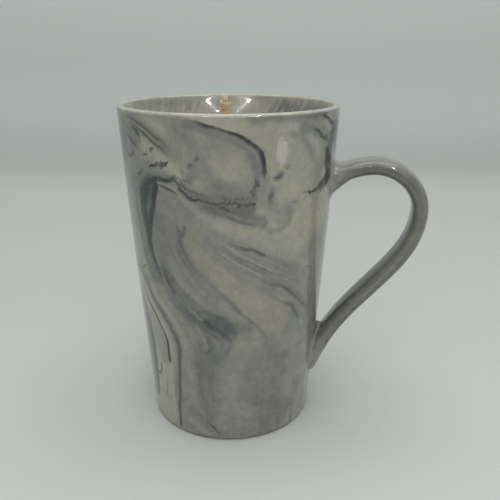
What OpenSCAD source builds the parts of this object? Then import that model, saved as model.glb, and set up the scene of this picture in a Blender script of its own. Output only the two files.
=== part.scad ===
// Marbled mug candle: a tall tapered ceramic mug with a strap handle, filled with wax round a wick.
// Units are millimetres. The origin is the centre of the foot, on the surface that the mug stands on.
// +Z is up and +X points to the handle. The shape is the same on both sides of the XZ plane.

/* [Mug body] */
// Outer diameter at the rim
rim_d = 88; // [70:1:110]
// Outer diameter at the bottom of the wall
base_d = 69.6; // [50:0.1:90]
// Height from the foot to the rim
mug_h = 134.5; // [90:0.5:170]
// How far the wall swells outside a straight taper at half height
wall_bulge = 0.5; // [0:0.1:2]
// Thickness of the wall at the lip
lip_t = 2.7; // [2:0.1:5]
// Thickness of the wall below the lip
wall_t = 5.2; // [3:0.1:8]
// Height over which the wall thins to the lip, all of it on the inside
lip_taper_h = 12; // [4:0.5:25]
// Height of the inside floor
floor_z = 6.5; // [4:0.5:12]
// Radius of the rounded corner inside, between floor and wall
inner_corner_r = 9; // [3:0.5:15]
// Radius of the rounded edge at the bottom of the wall
heel_r = 2.2; // [1:0.1:5]
// Depth of the shallow recess under the mug
foot_recess = 1.6; // [0.5:0.1:3]
// Width of the flat ring that the mug stands on
foot_ring_w = 4.5; // [2:0.5:8]

/* [Handle] */
// How far the middle of the strap stands out from the wall
handle_out = 35.5; // [28:0.5:45]
// Height of the middle of the strap at its crest
handle_high = 111; // [70:0.5:150]
// Height of the lower end of the strap
handle_low = 19; // [8:0.5:40]
// Thickness of the strap
strap_t = 6.7; // [5:0.1:10]
// Width of the strap
strap_w = 15; // [10:0.5:22]
// Extra width where the strap joins the wall
root_extra_w = 3.2; // [0:0.1:8]
// Extra thickness where the strap joins the wall at the top
root_extra_t = 5; // [0:0.1:10]
// Length of strap over which it widens to a root
root_len = 13; // [6:0.5:20]
// Length over which the strap's width rounds off at its lower end
tip_len = 9; // [4:0.5:14]

/* [Candle] */
// Depth of the wax surface under the rim
wax_drop = 12; // [6:0.5:60]
// Diameter of the wick
wick_d = 3.4; // [1.5:0.1:5]
// How far the wick stands above the rim
wick_above_rim = 2.5; // [-10:0.5:20]
// Diameter of the frayed tip of the wick
wick_tip_d = 4.8; // [1.5:0.1:7]
// Length of the frayed tip
wick_tip_len = 3.6; // [1:0.1:8]
// How far the wick stands off the mug's axis, towards the side opposite the handle
wick_off = 1.6; // [0:0.1:6]
// Diameter of the metal disc that holds the wick on the mug's floor
tab_d = 20; // [12:0.5:32]
// Thickness of the disc and of its collar
tab_t = 0.5; // [0.3:0.1:1]
// Height of the collar over the disc
collar_h = 6; // [3:0.5:12]

/* [Hidden] */

// Steps of the curves in the mug's outline
wall_steps = 10;
taper_steps = 6;
arc_steps = 7;
// Rings along the strap, points round its section, and how square the section is
rings_per_span = 15;
section_steps = 30;
squareness = 2.9;
// Length over which the thickness of the strap's lower end rounds off
end_round = 3;
// Distance from each end of the strap at which it begins to narrow from the width of its root
top_root_at = 2;
low_root_at = 14;
// Least share of the strap's size, squared, that is left at its very end
end_left = 0.02;
// How sharply the inside flares to the lip
flare = 1.6;
// Frayed tip: its widest place as a share of its length from the top, and its blunt end's width and depth
tip_belly = 0.45;
tip_end_share = 0.85;
tip_end_h = 0.3;

// Derived heights
wax_z = mug_h - wax_drop;
wick_z0 = floor_z + tab_t;
wick_z1 = mug_h + wick_above_rim;

// ---- Mug body ----

// Outer radius of the wall at height z; it reaches the rim's radius where the lip begins to round
function wall_r(z) =
    let (s = z / (mug_h - lip_t / 2))
    base_d / 2 + (rim_d - base_d) / 2 * s + wall_bulge * 4 * s * (1 - s);

// The inside is a plain taper from the corner over the floor, and flares where the wall thins
lip_r = lip_t / 2;
inner_z0 = floor_z + inner_corner_r;
taper_z = mug_h - lip_taper_h;
inner_z1 = mug_h - lip_r;
function wall_at(z) = wall_t - (wall_t - lip_t) * pow((z - taper_z) / (inner_z1 - taper_z), flare);
inner_r0 = wall_r(inner_z0) - wall_t;
inner_r1 = wall_r(inner_z1) - lip_t;

// Points of an arc in the outline, from angle a0 to a1
function arc(c, r, a0, a1) = [
    for (i = [0:arc_steps])
        let (a = a0 + (a1 - a0) * i / arc_steps)
        [c[0] + r * cos(a), c[1] + r * sin(a)]
];

// Ring that the mug stands on
foot_r1 = wall_r(heel_r) - heel_r;
foot_r0 = foot_r1 - foot_ring_w;

module outer_form() {
    outline = concat(
        [[0, foot_recess], [foot_r0 - foot_recess, foot_recess], [foot_r0, 0]],
        arc([foot_r1, heel_r], heel_r, -90, 0),
        [
            for (i = [1:wall_steps])
                let (z = heel_r + (inner_z1 - heel_r) * i / wall_steps)
                [wall_r(z), z]
        ],
        arc([wall_r(inner_z1) - lip_r, inner_z1], lip_r, 20, 90),
        [[0, mug_h]]
    );
    rotate_extrude($fn = 96) polygon(outline);
}

module cavity() {
    outline = concat(
        [[0, floor_z]],
        arc([inner_r0 - inner_corner_r, inner_z0], inner_corner_r, -90, 0),
        [
            for (i = [0:taper_steps])
                let (z = taper_z + (inner_z1 - taper_z) * i / taper_steps)
                [wall_r(z) - wall_at(z), z]
        ],
        arc([inner_r1 + lip_r, inner_z1], lip_r, 155, 90),
        [[inner_r1 + lip_r, mug_h + 5], [0, mug_h + 5]]
    );
    rotate_extrude($fn = 96) polygon(outline);
}

// ---- Handle ----

// The strap's centre-line is four Bezier spans. Each control point is a share of handle_out
// beyond the wall, and a share of the way from the handle's low end to its crest.
shape = [
    [-0.10, 0.925], [0.07, 0.965], [0.27, 1.00], [0.47, 1.00],
    [0.70, 1.00], [1.00, 0.925], [1.005, 0.80],
    [1.01, 0.65], [0.79, 0.56], [0.53, 0.43],
    [0.28, 0.31], [0.06, 0.19], [-0.055, 0.00]
];
controls = [
    for (p = shape)
        let (z = handle_low + (handle_high - handle_low) * p[1])
        [wall_r(z) + handle_out * p[0], z]
];
function bezier(k, t) =
    pow(1 - t, 3) * controls[k] + 3 * t * pow(1 - t, 2) * controls[k + 1]
    + 3 * t * t * (1 - t) * controls[k + 2] + pow(t, 3) * controls[k + 3];

// Centre-line points, their directions, and the distance of each from both ends
path = concat(
    [bezier(0, 0)],
    [for (k = [0:3]) for (i = [1:rings_per_span]) bezier(3 * k, i / rings_per_span)]
);
last = len(path) - 1;
function unit(v) = v / norm(v);
function heading(i) = unit(path[min(i + 1, last)] - path[max(i - 1, 0)]);
function run_to(i) = i == 0 ? 0 : run_to(i - 1) + norm(path[i] - path[i - 1]);
total = run_to(last);

// 1 at a root, falling smoothly to 0 at root_len from it
function near_root(d) = let (u = max(0, min(1, d / root_len))) 1 - u * u * (3 - 2 * u);
// Nearly 0 at the very end, rising like a quarter circle to 1 at length from it
function rounded(d, length) = let (u = 1 - min(1, d / length)) sqrt(max(end_left, 1 - u * u));

// Section point at angle a, as shares of the half width and half thickness
function power(v) = sign(v) * pow(abs(v), 2 / squareness);

function ring(i) =
    let (
        h = heading(i),
        d0 = run_to(i),
        d1 = total - d0,
        root = near_root(d0 - top_root_at) + near_root(d1 - low_root_at),
        w = (strap_w + root_extra_w * root) / 2,
        t = (strap_t + root_extra_t * near_root(d0)) / 2
    )
    [
        for (j = [0:section_steps - 1])
            let (
                a = 360 * (j + 0.5) / section_steps,
                across = w * rounded(d1, tip_len) * power(cos(a)),
                off = t * rounded(d1, end_round) * power(sin(a))
            )
            [path[i][0] - off * h[1], across, path[i][1] + off * h[0]]
    ];

module handle() {
    points = [for (i = [0:last]) each ring(i)];
    n = section_steps;
    sides = [
        for (i = [0:last - 1])
            for (j = [0:n - 1])
                let (a = i * n + j, b = i * n + (j + 1) % n)
                each [[a, a + n, b], [b, a + n, b + n]]
    ];
    start_cap = [[for (j = [0:n - 1]) j]];
    end_cap = [[for (j = [n - 1:-1:0]) last * n + j]];
    polyhedron(points, concat(sides, start_cap, end_cap));
}

module mug() {
    color([0.52, 0.52, 0.47])
        difference() {
            union() {
                outer_form();
                handle();
            }
            cavity();
        }
}

// ---- Candle ----

module wick_form() {
    r = wick_d / 2;
    tip_r = wick_tip_d / 2;
    outline = [
        [0, wick_z0], [r, wick_z0], [r, wick_z1 - wick_tip_len],
        [tip_r, wick_z1 - wick_tip_len * tip_belly],
        [tip_r * tip_end_share, wick_z1 - tip_end_h], [0, wick_z1]
    ];
    translate([-wick_off, 0, 0])
        rotate_extrude($fn = 60)
            polygon(outline);
}

module sustainer_form() {
    r = wick_d / 2 + tab_t;
    translate([-wick_off, 0, floor_z]) {
        cylinder(d = tab_d, h = tab_t, $fn = 90);
        cylinder(r = r, h = tab_t + collar_h, $fn = 60);
    }
}

module wax_fill() {
    color([0.93, 0.90, 0.83])
        difference() {
            intersection() {
                cavity();
                cylinder(d = rim_d, h = wax_z, $fn = 96);
            }
            wick_form();
            sustainer_form();
        }
}

module wick() {
    color([0.70, 0.58, 0.42])
        wick_form();
}

module wick_sustainer() {
    color([0.72, 0.73, 0.74])
        difference() {
            sustainer_form();
            wick_form();
        }
}

mug();
wax_fill();
wick();
wick_sustainer();
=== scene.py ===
"""Marbled mug candle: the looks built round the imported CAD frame.

The mug is one closed mesh: a revolved wall with a strap handle that flows into it. Its marbling is
laid out as strokes on the wall, each a smooth line in (degrees round the mug, millimetres up), and
is carried to the glaze material as mesh attributes. The wax, the braided wick and its metal
sustainer are pieces of their own. The object's lengths are in millimetres until a mesh is made. The
camera, the backdrop and the lamps are placed in metres.
"""
import math

import bpy
import numpy as np
from mathutils import Matrix, Vector


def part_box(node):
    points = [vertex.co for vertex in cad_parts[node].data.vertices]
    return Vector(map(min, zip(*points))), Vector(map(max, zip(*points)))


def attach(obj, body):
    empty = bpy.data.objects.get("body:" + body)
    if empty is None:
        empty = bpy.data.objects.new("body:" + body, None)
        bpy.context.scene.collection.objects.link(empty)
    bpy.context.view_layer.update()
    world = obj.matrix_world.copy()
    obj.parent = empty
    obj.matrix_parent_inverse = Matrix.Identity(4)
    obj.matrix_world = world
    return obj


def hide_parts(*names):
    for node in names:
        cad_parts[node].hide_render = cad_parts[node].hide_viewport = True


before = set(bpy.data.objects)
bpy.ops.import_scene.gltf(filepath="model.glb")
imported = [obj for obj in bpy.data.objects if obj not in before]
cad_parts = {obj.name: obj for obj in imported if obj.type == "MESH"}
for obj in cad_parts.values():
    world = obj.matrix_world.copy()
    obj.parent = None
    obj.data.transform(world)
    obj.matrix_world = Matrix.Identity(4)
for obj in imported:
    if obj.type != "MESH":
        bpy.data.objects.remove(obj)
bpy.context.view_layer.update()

MM = 0.001

# ---------------------------------------------------------------- sizes

# The mug, as in the CAD
MUG_LOW, MUG_HIGH = (np.array(corner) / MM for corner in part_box("mug"))
WAX_LOW, WAX_HIGH = (np.array(corner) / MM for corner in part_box("wax_fill"))
WICK_LOW, WICK_HIGH = (np.array(corner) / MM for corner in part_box("wick"))

RIM_R = -MUG_LOW[0]
MUG_H = MUG_HIGH[2]
BASE_R = 34.8
WALL_BULGE = 0.5
LIP_T = 2.7
WALL_T = 5.2
LIP_TAPER = 12.0
FLARE_POWER = 1.6
INNER_CORNER_R = 9.0
HEEL_R = 2.2
FOOT_RECESS = 1.6
FOOT_RING_W = 4.5
FLOOR_Z = WAX_LOW[2]
WAX_Z = WAX_HIGH[2]
WICK_X = (WICK_LOW[0] + WICK_HIGH[0]) / 2
LIP_R = LIP_T / 2
LIP_Z = MUG_H - LIP_R
TAPER_Z = MUG_H - LIP_TAPER
CORNER_Z = FLOOR_Z + INNER_CORNER_R

# The handle's middle line, as in the CAD: Bezier spans in shares of its reach and of its height
HANDLE_OUT = 35.5
HANDLE_HIGH = 111.0
HANDLE_LOW = 19.0
HANDLE_SHAPE = [
    (-0.10, 0.925), (0.07, 0.965), (0.27, 1.00), (0.47, 1.00),
    (0.70, 1.00), (1.00, 0.925), (1.005, 0.80),
    (1.01, 0.65), (0.79, 0.56), (0.53, 0.43),
    (0.28, 0.31), (0.06, 0.19), (-0.055, 0.00),
]
STRAP_W = 15.0
STRAP_T = 6.64
ROOT_EXTRA_W = 3.2
ROOT_EXTRA_T = 5.0
ROOT_LEN = 13.0
TOP_ROOT_AT = 2.0
LOW_ROOT_AT = 14.0
TIP_LEN = 9.0
END_ROUND = 3.0
END_CAP = 3.0
SQUARENESS = 2.9

# The fillet's size at two heights, for the low root and the top one
FILLET_HEIGHTS = (40, 90)
FILLETS = (1.6, 2.4)

# The mesh: one column a degree, and one ring of SECTION points for each step along the strap
COLUMNS = 360
WALL_ROWS = 146
SECTION = 132
SPAN_SAMPLES = 60
PATH_SAMPLES = 400
TINY = 1e-9

# Where the strap is free of its roots, as lengths from its two ends, and its rings there
FREE_FROM = 11.5
FREE_TO_END = 28.0
STRAP_RINGS = 118

# The rings from the wall to there: how far they follow the wall, and what share follows the strap
TOP_ROOT_RINGS = 13
LOW_ROOT_RINGS = 27
ROOT_REACH = 5.0
ROOT_PULL = 0.9
SETTLE_ROUNDS = 6
RELAX_ROUNDS = 140

# The part of the wall that swells into the fillets: x over, y under, and nearer to the strap than
ROOT_BOX_X = 28
ROOT_BOX_Y = 17
SWELL_REACH = 6


def wall_r(z):
    """Outer radius of the mug's wall at height z."""
    s = np.asarray(z, float) / LIP_Z
    return BASE_R + (RIM_R - BASE_R) * s + WALL_BULGE * 4 * s * (1 - s)


def inner_r(z):
    """Radius of the mug's inside at height z, which flares where the wall thins to the lip."""
    z = np.asarray(z, float)
    low = wall_r(CORNER_Z) - WALL_T
    high = wall_r(TAPER_Z) - WALL_T
    plain = low + (high - low) * (z - CORNER_Z) / (TAPER_Z - CORNER_Z)
    rise = np.clip((z - TAPER_Z) / (LIP_Z - TAPER_Z), 0, 1)
    flared = wall_r(z) - WALL_T + (WALL_T - LIP_T) * rise ** FLARE_POWER
    return np.where(z < TAPER_Z, plain, flared)


def unit(v):
    return v / np.linalg.norm(v, axis=-1, keepdims=True)


def smoothstep(x):
    x = np.clip(x, 0, 1)
    return x * x * (3 - 2 * x)


def add_mesh(name, points_mm, faces):
    """A smooth mesh object from points in millimetres."""
    mesh = bpy.data.meshes.new(name)
    mesh.from_pydata((np.asarray(points_mm) * MM).tolist(), [], faces)
    mesh.update()
    mesh.shade_smooth()
    piece = bpy.data.objects.new(name, mesh)
    bpy.context.scene.collection.objects.link(piece)
    return piece


def add_attribute(piece, name, values):
    """A value on each point: one number, or a colour of four."""
    values = np.asarray(values, np.float32)
    kind, field = ("FLOAT", "value") if values.ndim == 1 else ("FLOAT_COLOR", "color")
    layer = piece.data.attributes.new(name, kind, "POINT")
    layer.data.foreach_set(field, values.ravel())


# ---------------------------------------------------------------- the mug's form

def arc(centre_r, centre_z, radius, a0, a1, steps):
    """Points of an arc in the outline, from angle a0 to a1 in degrees, both included."""
    a = np.radians(np.linspace(a0, a1, steps))
    return [(centre_r + radius * math.cos(t), centre_z + radius * math.sin(t)) for t in a]


def mug_outline():
    """(radius, height) rows from under the foot, up the wall, over the lip and down the inside.
    Also gives the number of the first row of the outer wall and of the row on top of the lip."""
    foot_r1 = float(wall_r(HEEL_R)) - HEEL_R
    foot_r0 = foot_r1 - FOOT_RING_W
    recess_r = foot_r0 - FOOT_RECESS
    under = [
        (recess_r * 0.4, FOOT_RECESS), (recess_r * 0.8, FOOT_RECESS), (recess_r, FOOT_RECESS - 0.05),
        (foot_r0 - 0.7, 0.55), (foot_r0, 0.1), (foot_r0 + 0.6, 0.0), (foot_r1 - 0.3, 0.0),
    ]
    heel = arc(foot_r1, HEEL_R, HEEL_R, -84, -9, 7)
    z_wall = np.linspace(HEEL_R, LIP_Z, WALL_ROWS)
    wall = list(zip(wall_r(z_wall), z_wall))
    lip_c = float(wall_r(LIP_Z)) - LIP_R
    lip = arc(lip_c, LIP_Z, LIP_R, 12, 168, 14)
    flare = [(float(inner_r(z)), z) for z in np.linspace(LIP_Z - 0.4, TAPER_Z, 12)]
    inside = [(float(inner_r(z)), z) for z in np.linspace(TAPER_Z, CORNER_Z, 6)[1:]]
    corner_c = float(inner_r(CORNER_Z)) - INNER_CORNER_R
    corner = arc(corner_c, CORNER_Z, INNER_CORNER_R, -15, -90, 5)
    rows = under + heel + wall + lip + flare + inside + corner + [(corner_c * 0.5, FLOOR_Z)]
    first_row = len(under) + len(heel)
    return np.array(rows), first_row, first_row + len(wall) + len(lip) // 2


def handle_path():
    """The strap's middle line: points (out, up), headings, and run from the top end."""
    controls = []
    for out, up in HANDLE_SHAPE:
        z = HANDLE_LOW + (HANDLE_HIGH - HANDLE_LOW) * up
        controls.append((float(wall_r(z)) + HANDLE_OUT * out, z))
    controls = np.array(controls)
    t = np.linspace(0, 1, SPAN_SAMPLES)[:, None]
    spans = []
    for k in range(0, len(controls) - 1, 3):
        a, b, c, d = controls[k:k + 4]
        span = (1 - t) ** 3 * a + 3 * t * (1 - t) ** 2 * b + 3 * t * t * (1 - t) * c + t ** 3 * d
        spans.append(span if k == 0 else span[1:])
    points = np.vstack(spans)
    run = np.r_[0, np.cumsum(np.linalg.norm(np.diff(points, axis=0), axis=1))]
    even = np.linspace(0, run[-1], PATH_SAMPLES)
    points = np.stack([np.interp(even, run, points[:, k]) for k in (0, 1)], 1)
    return points, unit(np.gradient(points, axis=0)), even


PATH, HEADING, RUN = handle_path()
NORMAL = np.stack([-HEADING[:, 1], HEADING[:, 0]], 1)


def near_root(d):
    """1 at a root, falling smoothly to 0 at ROOT_LEN from it."""
    return 1 - smoothstep(d / ROOT_LEN)


def rounded(d, length):
    """Small at the very end, rising like a quarter circle to 1 at length from it."""
    least = 0.02
    return np.sqrt(np.maximum(least, 1 - (1 - np.minimum(1, d / length)) ** 2))


TO_END = RUN[-1] - RUN
WIDENING = near_root(RUN - TOP_ROOT_AT) + near_root(TO_END - LOW_ROOT_AT)
HALF_W = (STRAP_W + ROOT_EXTRA_W * WIDENING) / 2 * rounded(TO_END, TIP_LEN)
HALF_T = (STRAP_T + ROOT_EXTRA_T * near_root(RUN)) / 2 * rounded(TO_END, END_ROUND)


def nearest_on_path(points):
    """Number of the path sample nearest to each point, and the point's offsets from it."""
    flat = points[:, [0, 2]]
    best = np.empty(len(flat), int)
    batch = 4000
    for start in range(0, len(flat), batch):
        part = flat[start:start + batch]
        gap = ((part[:, None, :] - PATH[None]) ** 2).sum(-1)
        best[start:start + batch] = gap.argmin(1)
    rel = flat - PATH[best]
    return best, (rel * NORMAL[best]).sum(1), (rel * HEADING[best]).sum(1)


def strap_distance(points):
    """Distance from the strap's surface, less than 0 inside, close to true near the surface."""
    best, off, along = nearest_on_path(points)
    w, t = HALF_W[best], HALF_T[best]
    a = np.abs(points[:, 1]) / w
    b = np.abs(off) / t
    past = np.where((best == len(PATH) - 1) | (best == 0), np.abs(along), 0) / END_CAP
    g = (a ** SQUARENESS + b ** SQUARENESS + past ** SQUARENESS + TINY) ** (1 / SQUARENESS)
    ga = (a / g) ** (SQUARENESS - 1) / w
    gb = (b / g) ** (SQUARENESS - 1) / t
    return (g - 1) / np.sqrt(ga ** 2 + gb ** 2 + 1e-6)


def wall_distance(points):
    """Distance from the wall's outer surface, less than 0 inside."""
    lean = math.atan2(RIM_R - BASE_R, LIP_Z)
    return (np.hypot(points[:, 0], points[:, 1]) - wall_r(points[:, 2])) * math.cos(lean)


def outer_distance(points):
    """Distance from the wall and the strap blended by a fillet, wider at the top root."""
    a, b = wall_distance(points), strap_distance(points)
    k = np.interp(points[:, 2], FILLET_HEIGHTS, FILLETS)
    h = np.clip(k - np.abs(a - b), 0, None) / k
    return np.minimum(a, b) - h * h * k / 4


def onto_surface(points, rounds=3):
    """Moves points along the distance field until they lie on the blended surface."""
    step, longest = 0.02, 2.0
    for _ in range(rounds):
        f = outer_distance(points)
        slope = np.stack([
            (outer_distance(points + step * axis) - f) / step for axis in np.eye(3)
        ], 1)
        size = np.clip((slope ** 2).sum(1), 0.2, None)
        move = -(f / size)[:, None] * slope
        length = np.linalg.norm(move, axis=1, keepdims=True)
        points = points + move * np.minimum(1, longest / np.maximum(length, TINY))
    return points


def hermite(p0, t0, p1, t1, u):
    """Rings between p0 and p1, which leave along t0 and arrive along t1."""
    u = u[:, None, None]
    return (
        (2 * u ** 3 - 3 * u ** 2 + 1) * p0 + (u ** 3 - 2 * u ** 2 + u) * t0
        + (3 * u ** 2 - 2 * u ** 3) * p1 + (u ** 3 - u ** 2) * t1
    )


def relax(rings, rounds):
    """Evens out a band of rings between its two fixed ends, keeping it on the surface."""
    for _ in range(rounds):
        mid = rings[1:-1]
        around = np.roll(mid, 1, axis=1) + np.roll(mid, -1, axis=1)
        mid = mid * 0.2 + (around + rings[:-2] + rings[2:]) * 0.2
        rings[1:-1] = onto_surface(mid.reshape(-1, 3), 1).reshape(mid.shape)
    return rings


# A root of the handle replaces a patch of the wall's grid: half its width in columns, its height
TOP_HALF, TOP_Z = 18, 106.5
LOW_HALF, LOW_Z = 17, 31.5


def patch_loop(first_row, half, z_mid, upwards):
    """A patch's first row, last row and half width, and the numbers of the points round it."""
    rows = SECTION // 2 - 2 * half
    z_wall = np.linspace(HEEL_R, LIP_Z, WALL_ROWS)
    r0 = first_row + int(np.abs(z_wall - z_mid).argmin()) - rows // 2
    r1 = r0 + rows
    mid = (r0 + r1) // 2
    side = [(r, half) for r in range(mid, r1)]
    side += [(r1, c) for c in range(half, -half, -1)]
    side += [(r, -half) for r in range(r1, r0, -1)]
    side += [(r0, c) for c in range(-half, half)]
    side += [(r, half) for r in range(r0, mid)]
    if not upwards:
        side = [side[0]] + side[:0:-1]
    loop = np.array([r * COLUMNS + c % COLUMNS for r, c in side])
    return (r0, r1, half), loop


def section_ring(i):
    """Points of the strap's section at path sample i, evenly spaced, from the +Y side outwards."""
    a = np.radians(np.linspace(0, 360, 2881))
    power = 2 / SQUARENESS
    y = HALF_W[i] * np.sign(np.cos(a)) * np.abs(np.cos(a)) ** power
    off = HALF_T[i] * np.sign(np.sin(a)) * np.abs(np.sin(a)) ** power
    run = np.r_[0, np.cumsum(np.hypot(np.diff(y), np.diff(off)))]
    quarter = SECTION // 4
    marks = []
    for k in range(4):
        lo, hi = run[720 * k], run[720 * (k + 1)]
        marks.append(np.linspace(lo, hi, quarter, endpoint=False))
    marks = np.concatenate(marks)
    y, off = np.interp(marks, run, y), np.interp(marks, run, off)
    out = PATH[i, 0] + off * NORMAL[i, 0]
    up = PATH[i, 1] + off * NORMAL[i, 1]
    return np.stack([out, y, up], 1)


def build_mug():
    """The mug's points and faces, and each point's row on the wall and ring on the strap, or -1."""
    outline, first_row, _ = mug_outline()
    rows = len(outline)
    angle = np.radians(np.arange(COLUMNS))
    grid = np.stack([
        outline[:, 0, None] * np.cos(angle), outline[:, 0, None] * np.sin(angle),
        np.repeat(outline[:, 1, None], COLUMNS, 1),
    ], -1)
    points = grid.reshape(-1, 3)

    top_patch, top_loop = patch_loop(first_row, TOP_HALF, TOP_Z, True)
    low_patch, low_loop = patch_loop(first_row, LOW_HALF, LOW_Z, False)

    # The wall near the roots swells into the fillets
    wall = np.arange(first_row * COLUMNS, (first_row + WALL_ROWS) * COLUMNS)
    near = wall[(points[wall, 0] > ROOT_BOX_X) & (np.abs(points[wall, 1]) < ROOT_BOX_Y)]
    near = near[strap_distance(points[near]) < SWELL_REACH]
    points[near] = onto_surface(points[near])

    # Plain rings along the free part of the strap
    i0 = int(np.abs(RUN - FREE_FROM).argmin())
    i1 = int(np.abs(RUN - (RUN[-1] - FREE_TO_END)).argmin())
    free = np.unique(np.linspace(i0, i1, STRAP_RINGS).astype(int))
    strap = onto_surface(np.concatenate([section_ring(i) for i in free])).reshape(-1, SECTION, 3)

    def root(loop, ring, heading, rings):
        """Rings from the wall's loop to the strap's first or last ring."""
        edge = points[loop]
        centre = edge.mean(0)
        inward = unit(centre - edge)
        span = np.linalg.norm(edge - ring, axis=1, keepdims=True)
        u = np.linspace(0, 1, rings)
        leave, arrive = inward * ROOT_REACH, heading * span * ROOT_PULL
        band = hermite(edge[None], leave[None], ring[None], arrive[None], u)
        band[1:-1] = onto_surface(band[1:-1].reshape(-1, 3), SETTLE_ROUNDS).reshape(band[1:-1].shape)
        return relax(band, RELAX_ROUNDS)

    head0 = np.array([HEADING[i0, 0], 0, HEADING[i0, 1]])
    head1 = -np.array([HEADING[i1, 0], 0, HEADING[i1, 1]])
    top = root(top_loop, strap[0], head0, TOP_ROOT_RINGS)
    low = root(low_loop, strap[-1], head1, LOW_ROOT_RINGS)[::-1]
    rings = np.concatenate([top[1:-1], strap, low[1:-1]])

    # Numbers of every ring's points, the wall's own loops included
    base = len(points)
    number = base + np.arange(len(rings) * SECTION).reshape(len(rings), SECTION)
    number = np.vstack([top_loop, number, low_loop])
    points = np.vstack([points, rings.reshape(-1, 3)])

    r = np.arange(rows - 1)[:, None]
    c = np.arange(COLUMNS)[None]
    c2 = (c + 1) % COLUMNS
    quads = np.stack([
        r * COLUMNS + c, r * COLUMNS + c2, (r + 1) * COLUMNS + c2, (r + 1) * COLUMNS + c,
    ], -1)
    keep = np.ones(quads.shape[:2], bool)
    for r0, r1, half in (top_patch, low_patch):
        cols = np.arange(-half, half) % COLUMNS
        keep[np.ix_(np.arange(r0, r1), cols)] = False
    quads = quads[keep]
    nxt = np.roll(number, -1, axis=1)
    bands = np.stack([number[:-1], nxt[:-1], nxt[1:], number[1:]], -1).reshape(-1, 4)
    faces = np.vstack([quads, bands])

    # Drop the wall points that the roots replace, and close the two ends on the axis
    used = np.zeros(len(points), bool)
    used[faces.ravel()] = True
    renumber = np.cumsum(used) - 1
    faces = renumber[faces].tolist()
    under, floor = int(used.sum()), int(used.sum()) + 1
    last = renumber[(rows - 1) * COLUMNS]
    for k in range(COLUMNS):
        k2 = (k + 1) % COLUMNS
        faces.append([under, k2, k])
        faces.append([int(last + k), int(last + k2), floor])
    points = np.vstack([points[used], [[0, 0, outline[0, 1]], [0, 0, outline[-1, 1]]]])
    row = np.r_[np.repeat(np.arange(rows), COLUMNS), np.full(rings.shape[0] * SECTION, -1)][used]
    ring = np.r_[np.full(rows * COLUMNS, -1), np.repeat(np.arange(len(rings)), SECTION)][used]
    return points, faces, np.r_[row, 0, rows - 1], np.r_[ring, -1, -1]


FOOT_ROWS = (3, 6)
LIP_TOP_ROW = mug_outline()[2]


# ---------------------------------------------------------------- the painted grid

GRID_ROWS = 150
DEG, HEIGHT = np.meshgrid(np.arange(COLUMNS) * 360 / COLUMNS, np.linspace(0, MUG_H, GRID_ROWS))
ROW_MM = MUG_H / (GRID_ROWS - 1)


def look_up(layer, degrees, heights):
    """A painted layer at any place, smoothly between the grid's points."""
    layer = layer.reshape(GRID_ROWS, COLUMNS, -1)
    col = (degrees % 360) * COLUMNS / 360
    row = np.clip(heights / ROW_MM, 0, GRID_ROWS - 1.001)
    c0, r0 = np.floor(col).astype(int), np.floor(row).astype(int)
    fc, fr = (col - c0)[:, None], (row - r0)[:, None]
    c0, c1 = c0 % COLUMNS, (c0 + 1) % COLUMNS
    low = layer[r0, c0] * (1 - fc) + layer[r0, c1] * fc
    high = layer[r0 + 1, c0] * (1 - fc) + layer[r0 + 1, c1] * fc
    return low * (1 - fr) + high * fr


def soften(layer, rounds):
    """A layer blurred over its neighbours, closed round the mug."""
    for _ in range(rounds):
        layer = (layer + np.roll(layer, 1, 1) + np.roll(layer, -1, 1)) / 3
        padded = np.pad(layer, ((1, 1), (0, 0)) + ((0, 0),) * (layer.ndim - 2), mode="edge")
        layer = (padded[:-2] + padded[1:-1] + padded[2:]) / 3
    return layer


# ---------------------------------------------------------------- the marbling as strokes

DEGREE_MM = 0.7
TURN_MM = 360 * DEGREE_MM
STEP_MM = 0.9
CURVE_SAMPLES = 12

# How many groups each style of stroke has, and how far apart strokes in one group should be
GROUPS = {"smooth": 3, "torn": 3, "combed": 4}
GROUP_GAP = {"smooth": 6.5, "torn": 6.5, "combed": 16}
FAR = 1e9
NO_STROKE = (50.0, -9.0, 1.0, 1.0)

# Shifts that make the strokes' edges uneven: rounds of blur, and size in millimetres
WARP_BROAD = (9, 0.4)
WARP_FINE = (0, 0.16)

# What the canvas starts with: the veins' ink, and a slight pull of the streaks towards upright
PLAIN_INK = 0.8
UPRIGHT_FLOW = -0.03

# How far a stroke is stored, and a vein steers, is seen and sets the ink, in millimetres
STROKE_REACH = 14
VEIN_STEER_REACH = 9
VEIN_CLEAR = 2.4
INK_REACH, INK_FADE = 2, 1.5

# The share of its length over which a combed band fades in and out, and how fast the widths of bands
# and veins fall beyond their ends, and those of veins beyond VEIN_CLEAR
COMB_ENDS = 0.12
COMB_TAPER, VEIN_TAPER, VEIN_FALL = 1.2, 0.6, 0.8


def smooth_curve(points):
    """A Catmull-Rom curve through (degree, height) points, as evenly spaced points in mm."""
    p = np.array(points, float) * (DEGREE_MM, 1)
    p = np.vstack([2 * p[0] - p[1], p, 2 * p[-1] - p[-2]])
    t = np.linspace(0, 1, CURVE_SAMPLES, endpoint=False)[:, None]
    parts = []
    for a, b, c, d in zip(p, p[1:], p[2:], p[3:]):
        parts.append(0.5 * (
            2 * b + (c - a) * t + (2 * a - 5 * b + 4 * c - d) * t ** 2
            + (3 * b - a - 3 * c + d) * t ** 3
        ))
    p = np.vstack(parts + [p[-2:-1]])
    run = np.r_[0, np.cumsum(np.hypot(*np.diff(p, axis=0).T))]
    even = np.linspace(0, run[-1], max(3, int(run[-1] / STEP_MM) + 2))
    return np.stack([np.interp(even, run, p[:, k]) for k in (0, 1)], 1)


def warp_noise(seed, blur, size):
    """A smooth random shift for each point of the grid."""
    noise = soften(np.random.default_rng(seed).normal(size=(GRID_ROWS, COLUMNS)), 1 + blur)
    return (noise / noise.std() * size * 0.5).ravel()


def pair(value):
    """A pair as it is, or one value twice."""
    return value if isinstance(value, tuple) else (value, value)


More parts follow.
